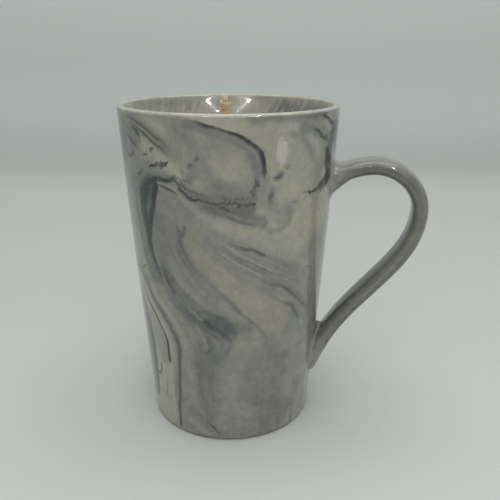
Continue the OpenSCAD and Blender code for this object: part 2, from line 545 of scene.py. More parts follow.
class Canvas:
    """One face of the mug's wall, painted point by point: a tone from 0, charcoal, to 1, cream,
    a warmth from -1, teal, to 1, beige, an amount of streaking, and groups of fine veins."""

    def __init__(self, degrees, heights, tone, warm, streak):
        self.u = degrees * DEGREE_MM + warp_noise(31, *WARP_BROAD) + warp_noise(33, *WARP_FINE)
        self.z = heights + warp_noise(32, *WARP_BROAD) + warp_noise(34, *WARP_FINE)
        self.tone = np.full(len(heights), tone)
        self.warm = np.full(len(heights), warm)
        self.streak = np.full(len(heights), streak)
        self.ink = np.full(len(heights), PLAIN_INK)
        self.flow = np.zeros((len(heights), 2))
        self.flow[:, 0] = UPRIGHT_FLOW
        self.groups = []
        for style, count in GROUPS.items():
            for _ in range(count):
                self.groups.append({
                    "style": style, "curves": [], "nearest": np.full(len(heights), FAR),
                    "values": np.tile(NO_STROKE, (len(heights), 1)),
                })

    def near(self, curve, reach):
        """The points within reach of a curve: numbers, signed distances (+ on its left), share of
        the curve's length, and the curve's heading there."""
        middle = (curve[:, 0].min() + curve[:, 0].max()) / 2
        u = (self.u - middle + TURN_MM / 2) % TURN_MM - TURN_MM / 2 + middle
        low, high = curve.min(0) - reach, curve.max(0) + reach
        inside = (u > low[0]) & (u < high[0]) & (self.z > low[1]) & (self.z < high[1])
        index = np.flatnonzero(inside)
        p = np.stack([u[index], self.z[index]], 1)
        a, d = curve[:-1], np.diff(curve, axis=0)
        rel = p[:, None] - a[None]
        along = np.clip((rel * d).sum(-1) / (d * d).sum(-1), 0, 1)
        gap = rel - along[..., None] * d
        dist2 = (gap ** 2).sum(-1)
        best = dist2.argmin(1)
        pick = np.arange(len(index))
        side = np.sign(d[best, 0] * gap[pick, best, 1] - d[best, 1] * gap[pick, best, 0])
        dist = np.sqrt(dist2[pick, best])
        share = (best + along[pick, best]) / len(d)
        heading = d[best] / np.linalg.norm(d[best], axis=1, keepdims=True)
        return index, dist * np.where(side == 0, 1, side), share, heading

    def steer(self, index, dist, heading, reach, weight):
        """Turns the flow of the streaks towards a stroke's heading."""
        pull = weight * np.clip(1 - np.abs(dist) / reach, 0, 1) ** 2
        double = np.stack([
            heading[:, 0] ** 2 - heading[:, 1] ** 2, 2 * heading[:, 0] * heading[:, 1],
        ], 1)
        self.flow[index] += pull[:, None] * double

    def shade(self, points, width, fade, tone=None, warm=None, streak=None, strength=1.0, steer=1.0,
              comb=0.0):
        """A soft band: width is the half width, from start to end, and fade the width of its soft
        edge on the left and on the right. With comb, fine lines run along it."""
        curve = smooth_curve(points)
        reach = max(pair(width)) + max(pair(fade)) + 1
        index, dist, share, heading = self.near(curve, max(reach, STROKE_REACH))
        half = pair(width)[0] + (pair(width)[1] - pair(width)[0]) * share
        edge = np.where(dist > 0, pair(fade)[0], pair(fade)[1])
        cover = strength * (1 - smoothstep((np.abs(dist) - half) / edge))
        for layer, target in ((self.tone, tone), (self.warm, warm), (self.streak, streak)):
            if target is not None:
                layer[index] += (target - layer[index]) * cover
        if steer:
            self.steer(index, dist, heading, max(reach, STROKE_REACH), steer)
        if comb:
            lines = comb * smoothstep(share / COMB_ENDS) * smoothstep((1 - share) / COMB_ENDS)
            width = half - COMB_TAPER * self.past_ends(dist, share, half)
            self.keep("combed", curve, index, dist, np.column_stack([dist, width, edge, lines]))

    def vein(self, points, width, edge=0.5, style="smooth", ink=0.75, steer=1.5):
        """A crisp line: width is its half width at the start, the middle and the end, and ink how
        dark it is."""
        curve = smooth_curve(points)
        start, middle, end = width if isinstance(width, tuple) else (width * 0.3, width, width * 0.2)
        index, dist, share, heading = self.near(curve, STROKE_REACH)
        half = np.interp(share, (0, 0.5, 1), (start, middle, end))
        inked = 1 - smoothstep((np.abs(dist) - INK_REACH) / INK_FADE)
        self.ink[index] += (ink - self.ink[index]) * inked
        far = np.maximum(0, np.abs(dist) - VEIN_CLEAR)
        edges = np.tile(pair(edge), (len(dist), 1))
        width = half - VEIN_TAPER * self.past_ends(dist, share, half) - VEIN_FALL * far
        self.keep(style, curve, index, dist, np.column_stack([dist, width, edges]))
        self.steer(index, dist, heading, VEIN_STEER_REACH, steer)

    @staticmethod
    def past_ends(dist, share, half):
        """How far points beyond a stroke's two ends are outside its width."""
        return np.maximum(0, np.where((share <= 0) | (share >= 1), np.abs(dist) - half, 0))

    def keep(self, style, curve, index, dist, values):
        """Adds a stroke's values to the group of its style whose strokes are farthest from it."""
        free = None
        for group in self.groups:
            if group["style"] != style:
                continue
            gaps = [
                np.sqrt(((curve[:, None] - other[None]) ** 2).sum(-1)).min() for other in group["curves"]
            ]
            group["gap"] = min(gaps, default=FAR)
            if free is None or group["gap"] > free["gap"]:
                free = group
            if free["gap"] > GROUP_GAP[style]:
                break
        free["curves"].append(curve)
        closer = np.abs(dist) < free["nearest"][index]
        rows = index[closer]
        free["nearest"][rows] = np.abs(dist)[closer]
        free["values"][rows] = values[closer]


def paint_front(c):
    """The side with the hooked vein. The handle is at 0 degrees, and the camera's side about -90."""
    # Broad areas
    c.shade([(-150, 120), (-147, 90), (-147, 50)], 5, 5, 0.6, -0.1)
    c.shade([(-147, 131), (-138, 120), (-132, 113)], 5, 5, 0.52, -0.3, 0.5)
    c.shade([(-118, 126), (-108, 120.5), (-98, 115)], 4, 5, 0.76, 0.8, 0.2)
    c.shade([(-96, 125), (-84, 118), (-74, 111)], 6, 6, 0.58, 0.5, 0.3)
    c.shade([(-86, 116), (-78, 115), (-74, 117)], 2, 4, 0.66, 0.7, 0.2)
    c.shade([(-92, 133), (-72, 131), (-58, 126), (-53, 117), (-54, 108)], 3, 5, 0.74, 0.8, 0.2)
    c.shade([(-44, 128), (-38, 118), (-42, 108)], 6, 6, 0.77, 0.5, 0.3)
    c.shade([(-30, 127), (-24, 118), (-28, 109)], 5, 6, 0.75, -0.2, 0.4)
    c.shade([(-68, 134), (-50, 134), (-28, 133.5)], 1, 3, 0.46, -0.2, 0.6)
    c.shade([(-66, 91), (-50, 90), (-38, 94), (-26, 98)], 7, 7, 0.77, 0.8, 0.2)
    c.shade([(-46, 104), (-34, 102), (-26, 103)], 3, 4, 0.76, 0.6)
    c.shade([(-114, 100), (-94, 90), (-76, 80)], 9, 7, 0.56, 0.2, 0.4)
    c.shade([(-104, 107.5), (-98, 102), (-90, 98.3), (-82, 95.8)], (0.15, 0.6), 1.2, 0.68, 0.5)
    c.shade([(-86, 96.5), (-74, 93), (-62, 90.5)], (0.6, 2.2), 2, 0.7, 0.6)
    c.shade([(-99, 90), (-94, 84), (-88, 79)], 2.5, 4, 0.56, 1.0, 0.4)
    c.shade([(-92, 83), (-85, 77), (-78, 71), (-70, 65), (-62, 60), (-52, 56)], (2, 4), 5, 0.63, 0.9,
            0.3)
    c.shade([(-60, 80), (-46, 74), (-30, 68)], 6, 7, 0.72, 0.3, 0.4)
    c.shade([(-76, 43), (-64, 43)], 2.5, 4, 0.64, 0.9)
    c.shade([(-100, 30), (-80, 24), (-60, 26), (-44, 28)], 16, 9, 0.58, 0.1, 0.15, steer=0)
    c.shade([(-84, 38), (-84, 4)], 3, 8, 0.6, 0.1, steer=0)
    c.shade([(-56, 36), (-52, 4)], 4, 8, 0.53, 0.0, steer=0)
    c.shade([(-33, 44), (-32, 4)], 5, 6, 0.63, 0.0, steer=0)
    c.shade([(-20, 66), (-15, 40), (-15, 4)], 6, 6, 0.64, 0.0, steer=0)
    # Painted dark reflection of the handle at the right edge, behind the strap
    c.shade([(0, 60), (-1, 40)], 4, 6, 0.4, 0.0, steer=0)
    c.shade([(-146, 62), (-134, 54), (-128, 44), (-127, 4)], 5, 5, 0.7, 0.4, 0.4)
    c.shade([(-133, 33), (-132, 4)], 4, 3, 0.77, 0.9, 0.2)
    c.shade([(-123, 33), (-123, 5)], 1.2, 2, 0.78, 0.9, 0.2)
    c.shade([(-108, 46), (-106, 30), (-106, 6)], 4, 4, 0.62, 0.2, 0.3)

    # Streaks below the rim on the left
    c.shade([(-148, 133.5), (-136, 132), (-124, 128.6), (-114, 124.8), (-107, 120.8)], (2.4, 1.4), 2,
            0.55, 0.0, comb=1.0)
    c.vein([(-146, 134), (-132, 131.6), (-121, 128.4), (-113, 125.2), (-108.5, 122.6)],
            (0.3, 0.35, 0.1), 0.9, ink=0.75)
    c.vein([(-134, 130.2), (-124, 127), (-116, 123.6), (-109, 120.3)], (0.15, 0.3, 0.15), 0.7, ink=0.65)
    c.shade([(-146, 130), (-137, 128), (-130, 124.5)], 1.6, 2, 0.48, -0.2, comb=1.0)
    c.vein([(-133, 129), (-129, 127.3), (-126, 124.8), (-125, 122.5)], 0.4, 0.8, "torn", 0.85)
    c.vein([(-139, 126.5), (-131.5, 122.5), (-127.5, 121)], 0.35, 0.8, "torn", 0.8)
    c.vein([(-140, 116.5), (-135.5, 117.5), (-132, 120.5)], 0.4, 0.8, "torn", 0.9)
    c.vein([(-124.5, 119.3), (-122.5, 119), (-120.5, 120.3)], 0.4, 0.6, "torn", 0.85)
    c.vein([(-119, 120), (-117.5, 121.5), (-116.5, 122.3)], 0.4, 0.6, "torn", 0.85)
    c.shade([(-150, 127), (-144, 123), (-146, 117)], 1.6, 2.6, 0.22, -0.4)
    # Painted dark reflection of the backdrop along the upper left edge
    c.shade([(-160, 130), (-157, 116), (-158, 90)], 6, 6, 0.3, -0.3, 0.5)
    c.shade([(-133, 116), (-128, 114), (-122, 114)], 0.5, 2.5, 0.5, -0.2, 0.5)

    # Hooked vein, with the thin line under its start
    c.shade([(-98, 131.2), (-88, 129.2), (-78, 126.6), (-70.5, 122.8), (-66, 117)], 0.3, (1.2, 2.6),
            0.44, -0.1)
    c.vein([(-106, 133.2), (-95, 132.4), (-84, 130), (-76, 128), (-69.5, 125.2), (-65, 122.4),
            (-63, 119.2), (-62.4, 114.6)], (0.25, 0.45, 0.95), (0.3, 1.2), ink=1.0)
    c.shade([(-104, 129), (-97, 126.5), (-93, 123), (-90, 119.5)], 0.2, 1.4, 0.54, 0.0)
    c.shade([(-100, 126), (-92, 120), (-88, 113)], 0.3, 2.2, 0.56, 0.1)

    # Small hooks and smudges inside it
    c.vein([(-97.8, 115.5), (-97.2, 118.5)], 0.35, 0.9, "torn", 0.6)
    c.vein([(-95, 120.6), (-93.3, 119.8), (-94.6, 117.6)], 0.35, 0.9, "torn", 0.65)
    c.vein([(-103, 116), (-101, 114), (-102, 112)], 0.3, 0.8, "torn", 0.5)
    c.shade([(-96, 116), (-98, 112), (-101, 110)], 0.6, 2.2, 0.5, 0.2)
    c.shade([(-84, 110), (-79, 108.5), (-75, 108)], 1.2, 3.4, 0.5, 0.4)
    c.shade([(-66, 114), (-66, 110), (-68, 105.5)], 0.4, 1.6, 0.5, -0.1)
    c.vein([(-66.5, 114.5), (-65.6, 111), (-67.5, 106.5)], 0.35, 1.0, "torn", 0.75)
    c.vein([(-69.5, 109), (-68, 107), (-69, 104.8)], 0.35, 1.0, "torn", 0.8)

    # Beak and the thick band under it
    c.vein([(-120.5, 114.5), (-116.5, 115.5), (-114, 115.8), (-111.5, 116.7), (-110, 117.2)],
            (0.3, 0.8, 0.6), 0.6, "torn", 1.0)
    c.vein([(-133, 111), (-129.5, 111.7), (-127, 112.4), (-125, 113)], 0.4, 0.6, "torn", 0.85)
    c.shade([(-134, 107), (-127, 109.8), (-118, 111.3), (-108, 111.8)], (1.8, 0.4), 2.0, 0.42, -0.6)
    c.vein([(-123, 109), (-117, 110.8), (-111.5, 110.9), (-107.7, 111.3), (-105.5, 112.5)],
            (1.0, 0.9, 0.5), 0.5, ink=1.0)
    c.shade([(-118, 109.7), (-111.5, 109.3), (-105, 108), (-101, 105)], 0.2, 0.5, 0.72, 0.4)
    c.vein([(-119, 108.6), (-111.5, 108.3), (-107.7, 107.4), (-103, 105.4)], 0.4, 0.6, ink=0.9)

    # Jagged line, its zigzags and the smoky zone below it
    c.shade([(-100, 106.5), (-90, 105), (-78, 104.8), (-68, 104.8)], 0.5, (3.0, 2.0), 0.42, 0.1)
    c.shade([(-92, 102), (-86, 100.8), (-76, 99.2), (-64, 96)], (0.4, 2), (1.6, 0.9), 0.45, -0.1,
            comb=0.9)
    c.vein([(-106, 113), (-103.5, 109.3), (-101, 106.8), (-96, 104.6), (-90, 104.2), (-83.5, 103.8),
            (-77.5, 103.8), (-72.5, 102.8), (-67.5, 103.4)], (0.35, 0.55, 0.5), 0.5, "torn", 1.0)
    c.shade([(-91, 102.4), (-80, 101.6), (-69, 101.6)], (0.5, 1.2), 1.4, 0.38, 0.0, 0.8)
    c.vein([(-85, 101.8), (-81.5, 102.2), (-79.5, 100.8), (-77, 101.2)], 0.45, 0.6, "torn", 0.9)
    c.vein([(-105, 112.8), (-102.5, 110.3), (-100, 108.7), (-95.5, 107.3), (-91, 106.2),
            (-85.5, 105.4)], 0.25, 0.45, "torn", 0.85)
    c.vein([(-103, 113.5), (-100.5, 111.5), (-98.5, 111.8), (-96, 109.5)], 0.25, 0.5, "torn", 0.6)
    for angle in (-81.5, -79, -76.5, -74, -71.5):
        c.vein([(angle, 104), (angle + 1, 106.5)], 0.3, 0.7, "torn", 0.7, steer=0)
    c.vein([(-91, 102.6), (-87, 100.4), (-82, 99), (-78, 97.8), (-73, 96.5), (-68, 95.5), (-62, 93.5)],
            0.25, (1.2, 0.4), ink=0.6)

    # Lobe and blotches to the right of it
    c.shade([(-55, 99.5), (-51, 98), (-50, 100)], 2.4, 2.4, 0.67, -0.2)
    c.shade([(-66, 94.2), (-60, 92.9), (-55, 92.5), (-50, 93.3), (-47.5, 96), (-48, 100)], 0.15,
            (1.8, 0.6), 0.58, 0.0)
    c.shade([(-56.5, 111.8), (-54.3, 113)], 0.5, 1.2, 0.34, -0.4)
    c.vein([(-57.3, 111.7), (-54.5, 113.2)], 0.5, 0.9, "torn", 0.95)
    c.vein([(-53, 114.6), (-51, 116.3), (-49.3, 116.6)], 0.3, 1.0, "torn", 0.5)
    c.shade([(-58.8, 108.5), (-59.3, 102)], 0.3, 1.2, 0.54, 0.0)
    c.vein([(-59, 108), (-59.6, 105), (-59, 101.8)], 0.3, 0.9, "torn", 0.6)
    c.shade([(-62, 112), (-63, 107)], 0.4, 1.8, 0.6, 0.1)
    c.vein([(-47, 103.8), (-44.5, 102.3), (-43, 104.2)], 0.3, 0.8, "torn", 0.6)

    # Vein on the right: a fine line under the rim that swells into a ragged dark column
    # Smoky grey marbling, painted darker than its own colour to dim the bright reflection at this edge
    c.shade([(-13, 127), (-9, 124), (-7, 120)], 1.8, 2.4, 0.15, -0.6)
    c.shade([(-14, 126.5), (-18, 122.5), (-19.5, 117), (-17.5, 112), (-18.5, 108.5), (-25, 106.5)],
            (2.9, 1.4), 1.1, 0.0, -1.0)
    c.vein([(-38, 134.3), (-30, 133), (-23, 131), (-17, 128.6), (-12.5, 126.6)], (0.25, 0.5, 1.0),
            (0.3, 1.0), ink=1.0)
    c.vein([(-13.5, 126), (-18, 122), (-19.5, 117.5), (-17.8, 113), (-17, 109.5)], (2.2, 2.6, 2.0), 1.2,
            "torn", 1.0)
    c.vein([(-17, 109.2), (-22, 107.6), (-27, 105.9), (-31.5, 104.9)], (1.8, 1.0, 0.4), (0.7, 1.2),
            "torn", 1.0)
    c.vein([(-31.5, 104.9), (-35, 104.6), (-37.5, 105.2), (-39.5, 106.6)], (0.5, 0.3, 0.15), 0.6,
            "torn", 0.9)
    c.vein([(-22.5, 123), (-28, 125), (-33, 127), (-37, 128)], (0.9, 0.45, 0.15), 0.8, "torn", 0.8)
    c.vein([(-22, 105.6), (-25, 104.2), (-28, 103.6)], 0.3, 0.7, "torn", 0.7)
    c.shade([(-50, 127.5), (-43, 125.5), (-38, 121), (-36, 117.5)], 0.25, 1.4, 0.6, -0.1)
    c.shade([(-41, 129), (-34, 128), (-28, 126), (-23, 123)], 1.6, 2.2, 0.54, -0.3, comb=1.0)

    # Dark teal column on the left and its threads
    c.shade([(-121, 108.5), (-123.5, 102), (-125, 95), (-126, 86)], (2.4, 1), 1.6, 0.3, -0.7)
    c.shade([(-121, 109), (-126.5, 105.5), (-128.8, 99), (-128.6, 91), (-126.8, 83), (-123.5, 75)],
            (2.0, 0.6), (1.4, 1.8), 0.2, -1.0, comb=0.8)
    c.shade([(-125.5, 106), (-127.8, 102.5), (-128.2, 96), (-127.6, 90), (-126.4, 84)], (1.3, 0.5), 1.2,
            0.0, -1.0)
    c.shade([(-136, 108), (-137, 98), (-134, 88), (-130, 79), (-125, 71)], 1.6, 2.2, 0.47, -0.6,
            comb=0.9)
    c.vein([(-117.5, 108), (-119, 104), (-120, 100), (-122.8, 95), (-125, 89), (-126, 84.5),
            (-124.5, 80), (-122, 76.3), (-120, 72.5), (-119, 68.5)], (0.9, 0.6, 0.2), (0.6, 2.4),
            ink=0.95)
    c.vein([(-131, 90), (-129.5, 84), (-126, 77), (-122, 71)], 0.25, 1.0, ink=0.6)
    c.shade([(-120, 96), (-119.5, 86), (-116, 77)], 1.2, 3.4, 0.5, -0.4)

    # Forked hook in the middle, and its long tail
    c.vein([(-106.2, 94), (-105.2, 92.6), (-104.2, 91.4)], (0.5, 0.9, 0.9), 0.7, ink=0.55)
    c.vein([(-101.2, 94.8), (-102.2, 93), (-103.8, 91.6)], (0.3, 0.8, 0.9), 0.7, ink=0.55)
    c.vein([(-104.8, 91.6), (-104.4, 87.5), (-102, 83), (-97.5, 78), (-91, 73)], (0.6, 0.2, 0.1),
            (0.5, 1.2), ink=0.4)
    c.shade([(-104, 91), (-102.8, 86), (-100.5, 82), (-96.8, 77.7), (-90, 73), (-85, 69), (-79.5, 65.3),
            (-73.5, 61)], (0.4, 0.3), (0.9, 2.2), 0.5, 0.0)
    c.vein([(-90, 73), (-79.5, 65.5), (-73.8, 61), (-67.5, 56.5), (-63, 53.3), (-60, 50), (-58.2, 46.5),
            (-58.5, 42)], (0.15, 0.25, 0.15), (0.8, 1.2), ink=0.4)
    c.shade([(-112, 88), (-106, 80), (-98, 73), (-90, 67)], 2.6, 3, 0.52, 0.0, comb=0.7)

    # Streaks on the right
    c.shade([(-86, 88), (-72, 81.5), (-60, 77), (-42, 70)], (3, 5), 4, 0.59, 0.0, 0.6, comb=1.0)
    c.vein([(-80, 88.8), (-72, 87.3), (-66, 85.6), (-61, 83.6)], (0.1, 0.3, 0.35), (0.5, 1.5), ink=0.65)
    c.vein([(-77.5, 92), (-75.5, 92.6)], 0.35, 0.7, "torn", 0.55)
    c.shade([(-60, 72), (-49, 69), (-38, 63), (-28, 55)], 1.6, (1.2, 2.6), 0.54, -0.2, comb=1.0)
    c.vein([(-59, 71.3), (-52.7, 70.6), (-48.8, 69), (-44.4, 66.2), (-35.5, 61), (-30, 57)],
            (0.15, 0.3, 0.15), (0.5, 1.2), ink=0.5)
    c.vein([(-59, 68), (-53.3, 65), (-47, 62.3), (-41, 60), (-38.5, 57), (-36, 53.3)], (0.1, 0.25, 0.4),
            (0.6, 1.2), ink=0.5)
    c.vein([(-35.5, 75.5), (-31, 74.5), (-28.3, 73.5)], 0.25, 0.5, ink=0.6)
    c.shade([(-40, 57), (-35, 53), (-31, 47)], 1.2, 3, 0.57, -0.5)

    # Dark streaky band from the left down to a pocket
    c.shade([(-118, 74), (-112, 68.5), (-104, 62.5), (-96, 57.5), (-85, 53.5)], (1.6, 4.8), (2.5, 4.5),
            0.37, -0.2, 0.9, comb=0.8)
    c.shade([(-90, 51), (-92, 46), (-95, 40), (-94, 28), (-93, 14)], (3.2, 1.4), 5, 0.5, -0.1, 0.6)
    c.shade([(-83, 50), (-81, 47), (-83, 43.5), (-89, 40.5)], 1.0, 3.2, 0.5, -0.4, 0.6)
    c.vein([(-89.5, 40.3), (-84, 41), (-80.5, 44), (-79, 48), (-80, 51)], 0.2, (1.6, 0.6), ink=0.35)
    c.shade([(-84, 55.4), (-76, 54), (-68, 53.5)], (1, 0.2), 2.4, 0.48, -0.3)
    c.shade([(-102, 60), (-93, 56), (-81, 52.5)], (1.6, 2.4), 3.2, 0.33, -0.5, 0.9, comb=0.7)
    c.shade([(-90, 55.2), (-82.5, 52.8)], 0.8, 3.0, 0.17, -0.6, 0.8)
    c.shade([(-110, 66), (-101, 60.6), (-95, 56.5)], 0.15, 0.7, 0.6, 0.2)
    c.shade([(-120, 66), (-115, 61), (-108, 55.5), (-103, 50.5)], 0.15, 0.9, 0.6, 0.2)
    c.shade([(-99, 54), (-94.5, 50), (-93, 44)], 0.15, 0.8, 0.6, 0.2)

    # Bands that sweep down the left side
    c.shade([(-144, 71), (-138.5, 68), (-132.5, 63.5), (-126, 58.3), (-121, 54.5), (-116.5, 50.5),
            (-113, 46), (-111.5, 42), (-112.5, 36), (-114, 22), (-116, 12), (-116.5, 3)], (0.8, 0.35),
            (0.9, 1.1), 0.38, -0.3)
    c.vein([(-128, 59.8), (-121, 54.3), (-116.5, 50.3), (-113, 46), (-111.7, 41), (-113, 33),
            (-114.3, 22), (-116.5, 8), (-116.5, 2.5)], (0.1, 0.3, 0.35), (0.6, 0.9), ink=0.5)
    c.shade([(-129, 67), (-124, 61.7), (-116.7, 56.5), (-110, 50), (-107.5, 44)], 0.5, 1.4, 0.7, 0.4)
    c.shade([(-136, 61), (-130, 56.5), (-124, 51), (-118, 45), (-116.5, 36)], 0.5, 1.4, 0.74, 0.4)
    c.shade([(-146, 60), (-139, 55), (-131, 49), (-126, 42), (-125, 34)], 2.0, 2, 0.66, 0.1, comb=0.5)
    c.vein([(-147, 66), (-140.4, 62.3), (-136.5, 59.2), (-132, 56.1), (-128, 52.6), (-125, 49.5),
            (-122.4, 46.2), (-121, 42.5), (-120.8, 34.5)], (0.45, 0.5, 0.8), 0.35, ink=1.0)
    c.vein([(-146, 71.6), (-138.5, 72.2), (-136, 73.4), (-133.5, 75)], 0.45, 0.7, ink=0.7)
    # Darker teal-grey along the lower left edge: painted shade that dims the bright reflection at this edge
    c.shade([(-160, 52), (-152, 44), (-150, 20)], 4, 5, 0.42, -0.4, 0.6)
    c.shade([(-147, 59), (-142, 50), (-139.4, 38), (-140, 25), (-142, 14)], 1.8, (1.0, 3.2), 0.2, -0.7,
            comb=0.7)
    c.vein([(-141.5, 50), (-138.6, 44), (-137.3, 36), (-138, 26), (-139.5, 20)], (0.4, 0.7, 0.3),
            (0.8, 1.6), "torn", 0.85)
    c.vein([(-135.5, 24.8), (-133, 25.6), (-131.4, 28.2), (-129.5, 33)], (0.7, 0.35, 0.1), 0.8,
            ink=0.75)
    c.vein([(-131, 45), (-129.5, 40), (-129, 34)], 0.15, 0.8, ink=0.35)
    c.vein([(-125, 29), (-125.6, 23), (-127, 18), (-127, 10), (-126.3, 5)], 0.25, 0.8, "torn", 0.65)
    c.vein([(-116, 33), (-117, 25), (-118.3, 19), (-118, 8)], 0.2, 0.8, ink=0.5)

    # Smudges low on the body
    c.shade([(-55, 40), (-49, 37.5), (-45, 38)], 0.8, 2.8, 0.48, -0.1, steer=0)
    c.shade([(-50, 34), (-46, 33), (-43, 30.5)], 0.6, 2.2, 0.45, -0.2, steer=0)
    c.shade([(-69, 37), (-68, 31)], 0.6, 2.8, 0.5, 0.0, steer=0)
    c.shade([(-60, 20), (-50, 16), (-40, 12)], 2, 5, 0.5, 0.0, steer=0)
    c.shade([(-31, 23), (-31, 17)], 0.6, 3, 0.55, 0.0, steer=0)
    c.vein([(-66, 44.2), (-65, 44.8)], 0.4, 0.4, ink=0.9)
    c.shade([(-108, 8.5), (-104, 5), (-98.5, 2.6)], 0.2, 0.8, 0.72, 0.4)
    c.shade([(-104, 13), (-96, 9), (-88, 3)], 1.6, 2, 0.52, 0.0, comb=0.9)
    c.vein([(-96, 9.3), (-91, 6.4), (-88.5, 3.8), (-86.5, 2.8)], 0.3, 0.8, ink=0.7)


def paint_back(c):
    """The far side: the front's bands run on round the mug, and a broad fold sweeps down across it."""
    c.shade([(14, 122), (30, 104), (44, 84)], 8, 9, 0.66, 0.3, 0.5)
    c.shade([(60, 124), (76, 104), (88, 84), (108, 68), (132, 60)], (5, 7), 6, 0.74, 0.7, 0.3)
    c.shade([(126, 116), (142, 108), (156, 108)], 7, 7, 0.7, 0.6, 0.4)
    c.shade([(188, 112), (182, 98), (184, 84)], 7, 7, 0.72, 0.5, 0.5)
    c.shade([(60, 36), (100, 26), (150, 22)], 12, 9, 0.58, 0.1, 0.2, steer=0)
    c.shade([(196, 50), (190, 28), (189, 4)], 8, 6, 0.72, 0.6, 0.5)
    c.shade([(24, 40), (22, 4)], 5, 6, 0.66, 0.3, 0.3)

    # The front's bands run on
    c.shade([(216, 71), (208, 75), (199, 80.5), (189, 86.5), (178, 90.5), (168, 92)], (1.1, 1.8),
            (1.5, 3), 0.36, -0.3, comb=0.8)
    c.vein([(216, 71), (208, 75.5), (199, 81.5), (189, 87.5), (178, 91.5), (167, 93)], (0.4, 0.8, 0.4),
            (0.6, 1.6))
    c.vein([(213, 66), (204, 69.5), (194, 74), (182, 77.5), (168, 79), (154, 84)], (0.45, 0.4, 0.15),
            (0.4, 1.2), ink=0.85)
    c.shade([(206, 60), (196, 62), (184, 61), (173, 55), (164, 44), (160, 30)], 0.8, (1, 3), 0.46, -0.2,
            comb=0.9)
    c.vein([(210, 50), (204, 40), (202, 28), (203, 12)], (0.2, 0.4, 0.2), (0.6, 1.6), ink=0.6)
    c.vein([(213, 134), (198, 130), (184, 123), (172, 116), (160, 114)], (0.8, 0.7, 0.2), (0.6, 1.6))
    c.shade([(213, 129), (200, 124), (188, 117), (176, 110)], 1.2, 3, 0.48, -0.2, comb=1.0)
    c.shade([(214, 119), (206, 112), (200, 102), (199, 90)], 1.4, 3, 0.36, -0.4, 0.8)

    # A broad fold that sweeps down, dark on its lower side and drawn out into streaks
    c.shade([(30, 132), (46, 120), (60, 102), (72, 82), (90, 64), (112, 50), (132, 42)], (1.4, 3.4),
            (2.5, 5), 0.38, -0.3, comb=1.0)
    c.vein([(26, 133), (44, 122), (58, 104), (69, 84), (86, 65), (108, 50)], (0.5, 1.2, 0.3),
            (0.5, 2.2))
    c.shade([(40, 112), (52, 92), (64, 72), (80, 56), (100, 42)], 0.4, 1.4, 0.66, 0.3)
    c.vein([(30, 112), (44, 94), (54, 74), (68, 56), (84, 42)], (0.1, 0.35, 0.1), (0.6, 1.6), ink=0.55)
    c.shade([(24, 98), (38, 80), (50, 60), (64, 44)], 1.4, 3, 0.48, -0.2, comb=0.8)
    c.shade([(92, 63), (104, 54), (118, 47), (132, 42)], (1.2, 0.6), 3.4, 0.3, -0.5, 0.8, comb=0.7)

    # Smoky streaks and a frayed edge under the rim
    c.shade([(84, 132), (98, 124), (112, 112), (130, 100), (150, 92)], (1.2, 2.6), (2, 4), 0.42, -0.3,
            comb=1.0)
    c.vein([(80, 133), (94, 127), (108, 116.5), (122, 107), (136, 100.5)], (0.3, 0.9, 0.6), (0.4, 1.6))
    c.vein([(136, 100.5), (144, 96.5), (152, 95.8), (160, 92.5), (168, 92.8)], (0.6, 0.5, 0.3), 0.6,
            "torn", 0.95)
    c.vein([(140, 103), (149, 99.8), (156, 99.2), (164, 96.2)], 0.25, 0.5, "torn", 0.7)
    c.shade([(134, 96), (146, 91), (160, 88)], 1.0, (1.5, 3), 0.44, 0.0, comb=0.8)
    c.vein([(106, 90), (118, 83), (132, 78), (148, 76)], (0.1, 0.35, 0.15), (0.5, 1.4), ink=0.5)
    c.shade([(98, 92), (112, 84), (130, 77), (150, 72)], 1.6, 3, 0.54, -0.1, comb=0.9)

    # Threads and clouds low on the body
    c.vein([(8, 62), (18, 52), (28, 40), (32, 26), (31, 8)], (0.2, 0.5, 0.3), (0.5, 1.4), ink=0.8)
    c.shade([(4, 54), (14, 44), (22, 32), (24, 14)], 0.8, (1.2, 2.4), 0.46, -0.3, comb=0.8)
    c.shade([(48, 40), (54, 26), (52, 8)], 1.4, 4, 0.46, -0.1, 0.5)
    c.shade([(88, 34), (94, 22), (92, 8)], 2, 5, 0.48, 0.0, 0.4)
    c.shade([(126, 34), (132, 22), (130, 6)], 1.6, 4, 0.48, -0.1, 0.4)


def paint_inside(c):
    """The inside: plain and light, with dark wisps that hang from the rim on two sides."""
    wisps = np.random.default_rng(5)
    for start, stop, count, depth, tone in ((10, 70, 70, 4.5, 0.26), (96, 178, 40, 4, 0.44),
                                            (190, 350, 30, 8, 0.5)):
        for angle in np.linspace(start, stop, count):
            angle += wisps.uniform(-1.5, 1.5)
            fall = depth * wisps.uniform(0.6, 1.4)
            lean = wisps.uniform(-5.0, -2.0)
            top = wisps.uniform(131.5, 133.0)
            c.shade([(angle, top), (angle - lean * 0.3, top - fall * 0.5), (angle - lean, top - fall)],
                    (0.2, 0.05), 0.9, tone, -0.1, strength=wisps.uniform(0.2, 0.6))
    c.shade([(6, 134), (30, 132.5), (56, 132), (84, 134)], 0.5, (6, 3), 0.46, -0.1, strength=0.6, steer=0)
    c.shade([(112, 133), (140, 132), (172, 133)], 0.4, (4, 3), 0.46, -0.5, strength=0.6, steer=0)
    for angle in range(0, 360, 15):
        c.shade([(angle, 132), (angle + 3, 20)], 0.5, 3, streak=0.35, steer=1)


# ---------------------------------------------------------------- streaks and the finished paint

# How strong the streaks and the dark threads among them are, and which streaks turn into threads
STREAK_FINE = 0.045
STREAK_BROAD = 0.04
THREADS = 0.08
THREAD_FROM, THREAD_MOST = 0.9, 1.6

# The lip's tone, how many rows it fades over, and over what height at the top of the wall
LIP_TONE = 0.86
LIP_ROWS = 5.0
LIP_TOP = 0.8
PLAIN_WARMTH = 0.3

